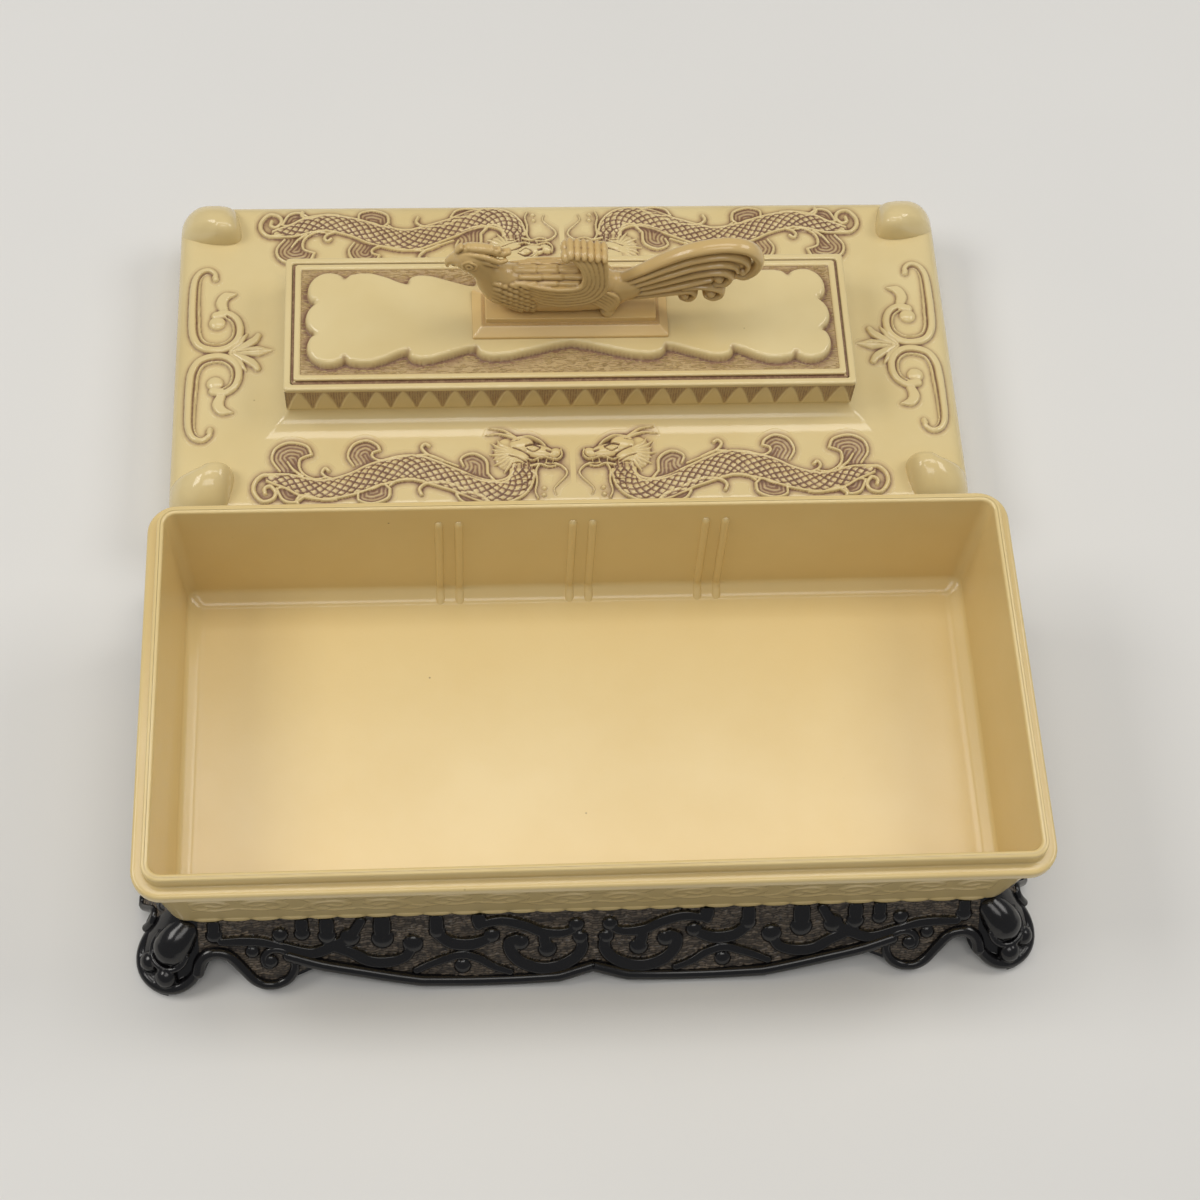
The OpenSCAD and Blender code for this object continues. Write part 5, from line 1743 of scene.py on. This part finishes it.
@dataclass
class Panel:
    """Panel let into the crown: a chiselled ground and a leaf-edged cartouche."""

    half: tuple[float, float] = (86.1, 21.9)
    low_z: float = 39.05
    ground_z: float = 41.1
    pillow: float = 1.7
    drawing: tuple[float, float] = (84.5, 20.3)
    cell: float = 0.34

    def outline(self) -> Array:
        """Returns the cartouche's outline, anticlockwise."""
        leaf = [
            (0, 10.2), (6, 11.4), (13, 13.4), (19, 14.9), (24.2, 15.4), (27.6, 14.8), (29.3, 13.2), (29.6, 11.9),
            (32, 12.2), (37.5, 14.1), (43, 15.9), (46.8, 16.3), (49.4, 15.6), (50.6, 14), (50.5, 12.8),
            (53, 13.6), (57, 15.6), (61.5, 17.1), (65.2, 17.2), (68.6, 16.6), (70.1, 14.9),
        ]
        a = np.radians(np.linspace(136, -38, 22))
        corner = np.stack([74.8 + 7 * np.cos(a), 10.4 + 7 * np.sin(a)], 1)
        a = np.radians(np.linspace(58, 0, 9))
        end = np.stack([75.3 + 7 * np.cos(a), 7 * np.sin(a)], 1)
        quarter = np.vstack([leaf, corner, end])
        right = np.vstack([quarter, quarter[-2::-1] * np.array([1, -1])])
        return np.vstack([right, right[-2:0:-1] * np.array([-1, 1])])

    def build(self, scatter: Grower, skin: Finishes) -> None:
        """Makes the panel's pieces.

        Args:
            scatter: The tree that puts strokes on the ground.
            skin: The finishes.
        """
        outline = self.outline()
        edge = finer(outline)
        (dx, dy), cell = self.drawing, self.cell
        pillow = Relief((-dx, -dy), (dx, dy), cell)
        gap = np.full(pillow.h.shape, 4.0)
        near_win, d, _, _ = pillow.near(edge, 4.0)
        gap[near_win] = np.minimum(d, 4.0)
        inside = np.zeros(pillow.h.shape, bool)
        win, held = pillow.inside(outline)
        inside[win] = held
        gap = blur(np.where(inside, gap, -gap), 1)
        rise = np.clip(1 - np.clip(1 - gap / self.pillow, 0, 1) ** 2.3, 0, 1) ** (1 / 2.3)
        pillow.h = np.where(gap > 0, 3.0 * rise, 0)
        gx, gy = pillow.grid()
        notches = [(29.6, 11.9), (50.5, 12.8), (70.1, 14.9), (80.2, 5.5)]
        crease = sum(np.exp(-(((np.abs(gx) - x) / 0.7) ** 2) - ((np.abs(gy) - y) / 0.9) ** 2) for x, y in notches)
        inner = ease((gap + 0.3) / 0.6)
        stain = inner * 0.4 * crease + (1 - inner) * (0.24 + 0.54 * np.exp(np.minimum(gap, 0) / 1.9))
        drawn = pillow.mesh(lambda x, y, h: np.stack([x, y, self.ground_z + h], 1), stain, everywhere=True)
        drawn.to_piece("panel_cartouche", skin.ivory, Part.PANEL, 80)

        hx, hy = self.half
        strip, groove = self.ground_z + 0.75, 40.5
        corners = [
            (hx - 3, hy - 3, 0.8, self.low_z), (hx + 0.45, hy + 0.45, 1.2, self.low_z),
            (hx + 0.45, hy + 0.45, 1.2, groove), (hx - 0.4, hy - 0.4, 1, groove), (hx - 0.4, hy - 0.4, 1, strip),
            (hx - 2, hy - 2, 0.8, strip), (hx - 2.6, hy - 2.6, 0.8, self.ground_z),
            (hx - 12, hy - 12, 0.6, self.ground_z),
        ]
        plate = moulding(corners, (0, 0.1, 0.1, 0.15, 0.55, 0.5, 0.2, 0))
        x, y, z = plate.points.T
        inset = np.minimum(hx - np.abs(x), hy - np.abs(y))
        plate.stain = np.where((inset > 2.4) & (z > self.ground_z - 0.2), 0.45, 0)
        # darker on the plate's outer edge below the strip: painted shade in the gap to the lid
        plate.stain = plate.stain + np.where((inset < 0.42) & (z < 41.2), 0.6, 0)
        rng = np.random.default_rng(5)
        spots = np.stack([rng.uniform(2.2 - hx, hx - 2.2, 9000), rng.uniform(2.2 - hy, hy - 2.2, 9000)], 1)
        ix = np.clip(((spots[:, 0] + dx) / cell).astype(int), 0, gap.shape[1] - 1)
        iy = np.clip(((spots[:, 1] + dy) / cell).astype(int), 0, gap.shape[0] - 1)
        spots = spots[gap[iy, ix] < -1.0]
        strokes = scatter.grow(
            seats_mesh(np.column_stack([spots, np.full(len(spots), self.ground_z)])), self.stroke_unit(),
            Least=(0.6, 0.7, 0.5), Most=(1.2, 1.3, 1.2), Spread=(0.0, 0.05, 0.16), Seed=3, Finish=skin.ivory,
        )
        Draft.joined([plate, strokes]).to_piece("panel_ground", skin.ivory, Part.PANEL, 45)

    @staticmethod
    def stroke_unit() -> Draft:
        """Returns one chisel stroke: a sliver with a pale crest and stained flanks."""
        points, stain = [], []
        for x, w in ((-1.3, 0.04), (-0.5, 0.2), (0.5, 0.2), (1.3, 0.04)):
            h = 0.36 if w > 0.1 else 0.0
            points += [(x, -w, -0.05), (x, 0.0, h), (x, w, -0.05)]
            stain += [0.6, 0.04 if h else 0.4, 0.75]
        quads = [(3 * k + j, 3 * k + 3 + j, 3 * k + 4 + j, 3 * k + 1 + j) for k in range(3) for j in range(2)]
        return Draft(np.array(points), np.array(quads), stain=np.array(stain))


@dataclass
class Plinth:
    """Stepped block on the cartouche, in the cream plastic tinted a little orange as painted bounce light."""

    foot: tuple[float, float] = (30.5, 9.0)
    top: tuple[float, float] = (27.5, 6.0)
    step: tuple[float, float] = (26.5, 5.0)
    low_z: float = 44.1
    slope_z: float = 47.1
    top_z: float = 49.3

    def build(self, skin: Finishes) -> None:
        """Makes the plinth.

        Args:
            skin: The finishes.
        """
        corners = [
            (28, 6.5, 0.5, self.low_z), (*self.foot, 0.6, self.low_z), (*self.foot, 0.6, self.low_z + 0.9),
            (*self.top, 0.6, self.slope_z), (*self.step, 0.6, self.slope_z), (*self.step, 0.6, self.top_z),
            (20, 2.5, 0.5, self.top_z),
        ]
        draft = moulding(corners, (0, 0.15, 0.3, 0.35, 0.15, 0.45, 0), corner=5)
        z = draft.points[:, 2]
        draft.stain = np.where(np.abs(z - self.slope_z) < 0.12, 0.3, 0.0) + np.where(z < self.low_z + 0.2, 0.35, 0.0)
        draft.to_piece("handle_plinth", skin.ivory_painted_bounce, Part.PLINTH, 35)


@dataclass
class Bird:
    """Bird handle: swan-like body, curled wings and a rolled, ridged tail."""

    foot_z: float = 49.3
    cell: float = 0.36

    def figure(self) -> Draft:
        """Builds the right half of the bird and mirrors it.

        Returns:
            The whole bird, above its own foot.
        """
        f = Field((-40.0, -1.8, -0.4), (60.5, 8.6, 33.5), self.cell)
        self.body(f)
        self.wing(f)
        self.tail(f)
        self.head(f)
        f.above(0.0)
        # the half is sampled a little past the middle, and mirrored there
        spare = int(round(1.8 / self.cell))
        half = f.f[:, spare:, :]
        f.f = np.concatenate([half[:, :0:-1, :], half], axis=1)
        f.low[1] = -(half.shape[1] - 1) * self.cell + f.axes[1][spare]
        return f.mesh(3.2)

    @staticmethod
    def body(f: Field) -> None:
        """Adds the neck, breast and rump, long feathers on the back and small ones on the shoulder."""
        balls = [
            (-31, 0, 25, 4.6, 3.7, 4.6), (-28.2, 0, 22.6, 4.4, 3.7, 4.8), (-26, 0, 19.2, 4.4, 3.8, 5),
            (-24.2, 0, 15.4, 4.9, 4.2, 5.4), (-22, 0, 12, 6.2, 4.9, 7.2), (-17.5, 0, 10, 7.6, 5.2, 8.6),
            (-11, 0, 9.2, 8.6, 5.3, 9.4), (-4, 0, 9, 8.8, 5.4, 9.4), (3, 0, 8.8, 8.2, 5.3, 9),
            (9, 0, 8.6, 6.4, 4.9, 7.8), (14, 0, 9, 4.6, 4.2, 5.8), (18, 0, 10.4, 4, 3.7, 4.6),
        ]
        for b in balls:
            f.ball(b[:3], b[3:], 2.2)
        f.tube([(-19, 0, 14.6, 4), (-12, 0, 14.6, 4.5), (-3, 0, 14.4, 4.7), (4, 0, 14.2, 5), (8, 0, 13.6, 4.6)], 1.2)
        for k, turn in enumerate(np.radians((84, 58, 32))):
            for x in (-17.5 + 1.6 * (k % 2), -11.0 + 1.6 * (k % 2), -4.6 + 1.6 * (k % 2)):
                y, z = 4.5 * math.cos(turn), 14.6 + 4.4 * math.sin(turn)
                f.tube([(x, y, z, 0.75), (x + 3, y + 0.1, z + 0.1, 0.85), (x + 5.9, y + 0.2, z + 0.15, 0.9)], 0.1, 1.15)
        for i, x in enumerate(np.arange(-23.0, -11.5, 1.75)):
            middle, half = (np.interp(x, (-24, -17.5, -11), v) for v in ((14, 10.4, 9.6), (6, 8.8, 9.6)))
            for z in np.arange(3.4 + 1.0 * (i % 2), 20.0, 2.0):
                t = (z - middle) / half
                if -0.82 < t < 0.7:
                    y = f.face(x, z)
                    f.tube([(x - 0.8, y - 0.5, z + 0.25, 0.75), (x + 0.7, y - 0.15, z - 0.2, 0.8)], 0.1)

    @staticmethod
    def wing(f: Field) -> None:
        """Adds the long feathers that sweep back and curl up to rolled tips, and the strands of the rump."""
        core = [
            (-15, 2.6, 13.8, 2.2), (-4, 3.2, 12.2, 2.5), (4, 3.2, 13.2, 2.5), (6.4, 2.8, 19, 2.2), (5.4, 1.6, 25, 1.8),
            (4, 1, 28, 1.2),
        ]
        f.tube(core, 1.0)
        f.tube([(8.2, 1.8, 14.0, 2.2), (8.4, 1.4, 20.0, 2.0), (7.2, 0.8, 26.0, 1.3)], 1.0)
        for k in range(6):
            u = k / 5
            path = [
                (-13.5 + 1.2 * u, 4.6, 17.2 - 6.2 * u, 0.72), (-9, 5.3 + 0.4 * u, 16.5 - 6.6 * u, 0.82),
                (-3.5 + 0.5 * u, 5.6 + 0.5 * u, 16 - 6.8 * u, 0.84), (2 + 3.4 * u, 5.5 + 0.5 * u, 17 - 6.2 * u, 0.84),
                (3.4 + 6.2 * u, 4.9 + 0.4 * u, 21 - 5.4 * u, 0.84), (2 + 7.8 * u, 3.8 + 0.2 * u, 25.4 - 3.2 * u, 0.86),
                (-0.4 + 9.7 * u, 2.8, 28.2 - 2.2 * u, 0.9),
            ]
            f.tube(path, 0.05)
            f.ball((-1.2 + 10.3 * u, 1.2, 29.3 - 2.0 * u), (1.25 - 0.1 * u, 2.9, 1.6), 0.05)
        f.ball((-2.3, 1.5, 28.0), (1.8, 2.7, 1.8), 0.1)
        for k in range(6):
            u = k / 5
            strand = [
                (5 + 5.5 * u, 5.6 - 0.4 * u, 10.4 + 3.2 * u, 0.55), (8.6 + 4.6 * u, 5.3 - 0.7 * u, 7.2 + 3.6 * u, 0.7),
                (10.8 + 3.4 * u, 4.8 - 0.6 * u, 4.2 + 3 * u, 0.7), (11.4 + 1.8 * u, 4.3 - 0.3 * u, 2.2 + 1.6 * u, 0.65),
            ]
            f.tube(strand, 0.1)
        f.ball((11.2, 3.4, 2.1), (2.3, 2.3, 2.1), 0.1)

    @staticmethod
    def tail(f: Field) -> None:
        """Adds the ridged plumes, which widen downwards, the roll over their end and the volutes."""
        plumes = [
            ([(13.5, 13, 1), (20, 17.6, 1.3), (27, 23, 1.5), (35.5, 28, 1.6), (45, 30.3, 1.65), (52.2, 28.9, 1.7),
              (56, 24.2, 1.7), (55.6, 19, 1.6), (52.6, 15.8, 1.5), (49.6, 16.4, 1.3)], 1.6),
            ([(13.8, 12.2, 0.9), (20.5, 15.6, 1.1), (28, 20.4, 1.15), (36.3, 24.9, 1.2), (44.8, 26.9, 1.25),
              (50.6, 25.4, 1.25), (53, 22, 1.15), (52.4, 19, 1)], 2.5),
            ([(14, 10.8, 0.9), (21, 13.6, 1.05), (29, 18, 1.15), (37, 22, 1.2), (44.5, 23.6, 1.25), (48.8, 22.2, 1.15),
              (50, 19.6, 1)], 2.9),
            ([(14.5, 9.2, 0.9), (23, 11.9, 1.05), (31, 15.8, 1.2), (39, 19.2, 1.3), (45, 20.2, 1.4), (48, 17.8, 1.4),
              (46.8, 14.2, 1.3), (43.8, 13.6, 1.1)], 2.9),
            ([(15, 7.5, 0.9), (24, 9.8, 1.05), (32, 12.8, 1.2), (38.5, 15.6, 1.25), (42, 16.6, 1.2)], 3.2),
            ([(34, 12, 1.2), (40, 12.8, 1.3), (45.2, 11.4, 1.4), (46, 8.4, 1.3), (43.6, 6.4, 1.2), (41.4, 7, 1)], 3),
            ([(15.5, 5.8, 0.9), (24, 7.8, 1.05), (31, 9.6, 1.2), (36.2, 10.6, 1.3), (37.9, 8, 1.2), (36.2, 5.6, 1.1),
              (33.8, 5.9, 0.9)], 3),
        ]
        for path, breadth in plumes:
            f.tube([(x, 0.0, z, r) for x, z, r in path], 0.05, breadth)
        core = [
            (14, 0, 9.2, 3.2), (22, 0, 12.4, 3), (30, 0, 15.6, 3.4), (38, 0, 19.4, 4), (45, 0, 21.2, 4),
            (50.5, 0, 22, 3.2),
        ]
        f.tube(core, 0.2, 0.55)
        for x, z, r, y in ((51.6, 19, 1.6, 3), (44.6, 16.6, 2.1, 4), (42.9, 9.3, 2, 4.2), (34.9, 7.9, 1.7, 4)):
            f.ball((x, 0, z), (r, y, r), 0.05)

    @staticmethod
    def head(f: Field) -> None:
        """Adds the head, beak, crest and eye."""
        f.ball((-31.2, 0, 25.8), (4.9, 3.7, 4.3), 1.2)
        f.tube([(-33.6, 0, 25.6, 2.4), (-36.0, 0, 24.9, 1.7), (-37.6, 0, 23.4, 1.1), (-37.9, 0, 21.4, 0.6)], 0.7)
        f.tube([(-34.0, 0, 22.8, 1.3), (-36.0, 0, 22.2, 0.8)], 0.5)
        f.tube([(-37.6, 2.2, 23.6, 0.32), (-35.4, 2.1, 23.4, 0.36), (-33.6, 3.0, 22.8, 0.3)], cut=True)
        crest = [
            [(-35.4, 0.2, 28, 0.5), (-33.4, 0.3, 29.6, 0.8), (-30.5, 0.4, 30.3, 1.1), (-25.5, 0.4, 29.4, 1.2),
             (-21.6, 0.4, 27.6, 1.1), (-19.6, 0.4, 28.2, 0.9)],
            [(-34.6, 1.3, 28, 0.5), (-31, 1.9, 29.2, 0.7), (-26.4, 2.1, 28, 0.9), (-22.6, 2, 25.8, 0.9),
             (-20.4, 1.9, 26.2, 0.7)],
            [(-28.6, 2.6, 27.2, 0.5), (-25.4, 2.6, 25.6, 0.7), (-22.8, 2.4, 23.8, 0.6)],
        ]
        for line in crest:
            f.tube(line, 0.2)
        for k, x in enumerate((-34.2, -32.0, -29.7, -27.4, -25.1, -22.9)):
            f.tube([(x - 0.6, 0.3, 29.6 - 0.16 * k * k * 0.5, 0.9), (x + 0.5, 0.4, 31.0 - 0.07 * k * k, 0.7)], 0.1, 1.3)
        turns = np.linspace(0, 2 * math.pi, 13)
        for reach in (2.0, 0.9):
            eye = [(-31.4 + reach * math.cos(a), 26.0 + 0.85 * reach * math.sin(a)) for a in turns]
            f.tube([(x, f.face(x, z) + 0.12, z, 0.36) for x, z in eye], 0.05)

    def build(self, skin: Finishes) -> None:
        """Makes the bird.

        Args:
            skin: The finishes.
        """
        self.figure().moved(z=self.foot_z).to_piece("bird_handle", skin.tan, Part.BIRD, 75)


# ---- studio


@dataclass
class Studio:
    """Pale floor, soft lamps and the camera at the photograph's angle."""

    eye: tuple[float, float, float] = (-38.22, -316.64, 614.91)
    pitch: float = 62.986
    heading: float = 8.481
    roll: float = 6.455
    lens: float = 65.784
    floor_tones: tuple = (shade(226, 225, 222), shade(220, 219, 216))
    lamp_tone: tuple[float, float, float] = (1.0, 0.975, 0.935)
    lamps: tuple = (
        ("lamp_left", (-0.8, 0.1, 0.95), (0, 0, 0.02), (0.4, 0.6), 4.5),
        ("lamp_right", (0.8, 0.2, 0.9), (0, 0, 0.02), (0.4, 0.6), 3.3),
        ("lamp_top", (0.05, 0.34, 1.3), (0, 0, 0), (1, 0.3), 3.8),
        ("lamp_front", (0, -0.48, 1.35), (0, 0, 0), (0.8, 0.4), 3.2),
    )

    @staticmethod
    def stand(data: bpy.types.ID, axes: Sequence[Array], at: Sequence[float]) -> bpy.types.Object:
        """Stands a lamp or the camera in the scene.

        Args:
            data: The lamp or camera.
            axes: Its own three axes.
            at: Its place in metres.
        Returns:
            Its object.
        """
        thing = bpy.data.objects.new(data.name, data)
        rows = [(*row, at[k]) for k, row in enumerate(np.stack(axes, 1))]
        thing.matrix_world = Matrix([*rows, (0, 0, 0, 1)])
        bpy.context.scene.collection.objects.link(thing)
        return thing

    def build(self) -> None:
        """Makes the floor, the lamps, the world and the camera."""
        scene = bpy.context.scene
        scene.view_settings.view_transform = "Standard"
        self.camera(scene)
        self.floor(scene)
        for name, spot, aim, size, power in self.lamps:
            lamp = bpy.data.lights.new(name, "AREA")
            lamp.shape, lamp.size, lamp.size_y, lamp.energy = "RECTANGLE", *size, power
            lamp.color = self.lamp_tone
            back = np.array(spot) - np.array(aim)
            z = back / np.linalg.norm(back)
            x = np.cross((0, 1, 0), z)
            x /= np.linalg.norm(x)
            self.stand(lamp, (x, np.cross(z, x), z), spot)
        world = bpy.data.worlds.new("studio_air")
        world.use_nodes = True
        air = world.node_tree.nodes["Background"]
        air.inputs["Color"].default_value = (0.97, 0.98, 1.0, 1.0)
        air.inputs["Strength"].default_value = 0.27
        scene.world = world

    def camera(self, scene: bpy.types.Scene) -> None:
        """Sets the camera.

        Args:
            scene: The scene that it looks at.
        """
        h, p, r = (math.radians(a) for a in (self.heading, self.pitch, self.roll))
        ahead = np.array([math.sin(h) * math.cos(p), math.cos(h) * math.cos(p), -math.sin(p)])
        right = np.array([math.cos(h), -math.sin(h), 0.0])
        up = np.cross(right, ahead)
        right, up = math.cos(r) * right + math.sin(r) * up, math.cos(r) * up - math.sin(r) * right
        data = bpy.data.cameras.new("camera")
        data.lens, data.sensor_width, data.sensor_fit = self.lens, 36.0, "HORIZONTAL"
        data.clip_start, data.clip_end = 0.02, 20.0
        scene.camera = self.stand(data, (right, up, -ahead), np.array(self.eye) * MM)

    def floor(self, scene: bpy.types.Scene) -> None:
        """Makes the floor.

        Args:
            scene: The scene that it lies in.
        """
        mesh = bpy.data.meshes.new("floor")
        mesh.from_pydata([(-3, -3, 0), (3, -3, 0), (3, 3, 0), (-3, 3, 0)], [], [(0, 1, 2, 3)])
        p = Paint("pale_floor")
        mesh.materials.append(p.finish(p.mix(p.noise(6.0, 3.0), *self.floor_tones), 0.7))
        floor = bpy.data.objects.new("floor", mesh)
        scene.collection.objects.link(floor)


def main() -> None:
    """Builds the studio and the sub-assemblies in order, and gives the imported fasteners a steel finish."""
    Studio().build()
    skin = Finishes()
    rows, scatter, sweep = row_grower(), scatter_grower(), sweep_grower()
    Tray().build(rows, skin)
    Stand().build(sweep, skin)
    Lid().build(rows, skin)
    Panel().build(scatter, skin)
    Plinth().build(skin)
    Bird().build(skin)
    for node in ("stand_screws", "handle_stud", "handle_washer", "handle_pin"):
        piece = frame["nodes"][node]
        piece.data.materials.clear()
        piece.data.materials.append(skin.steel)
        LOG.info("%s: packed solid with a steel finish", node)


if __name__ == "__main__":
    main()
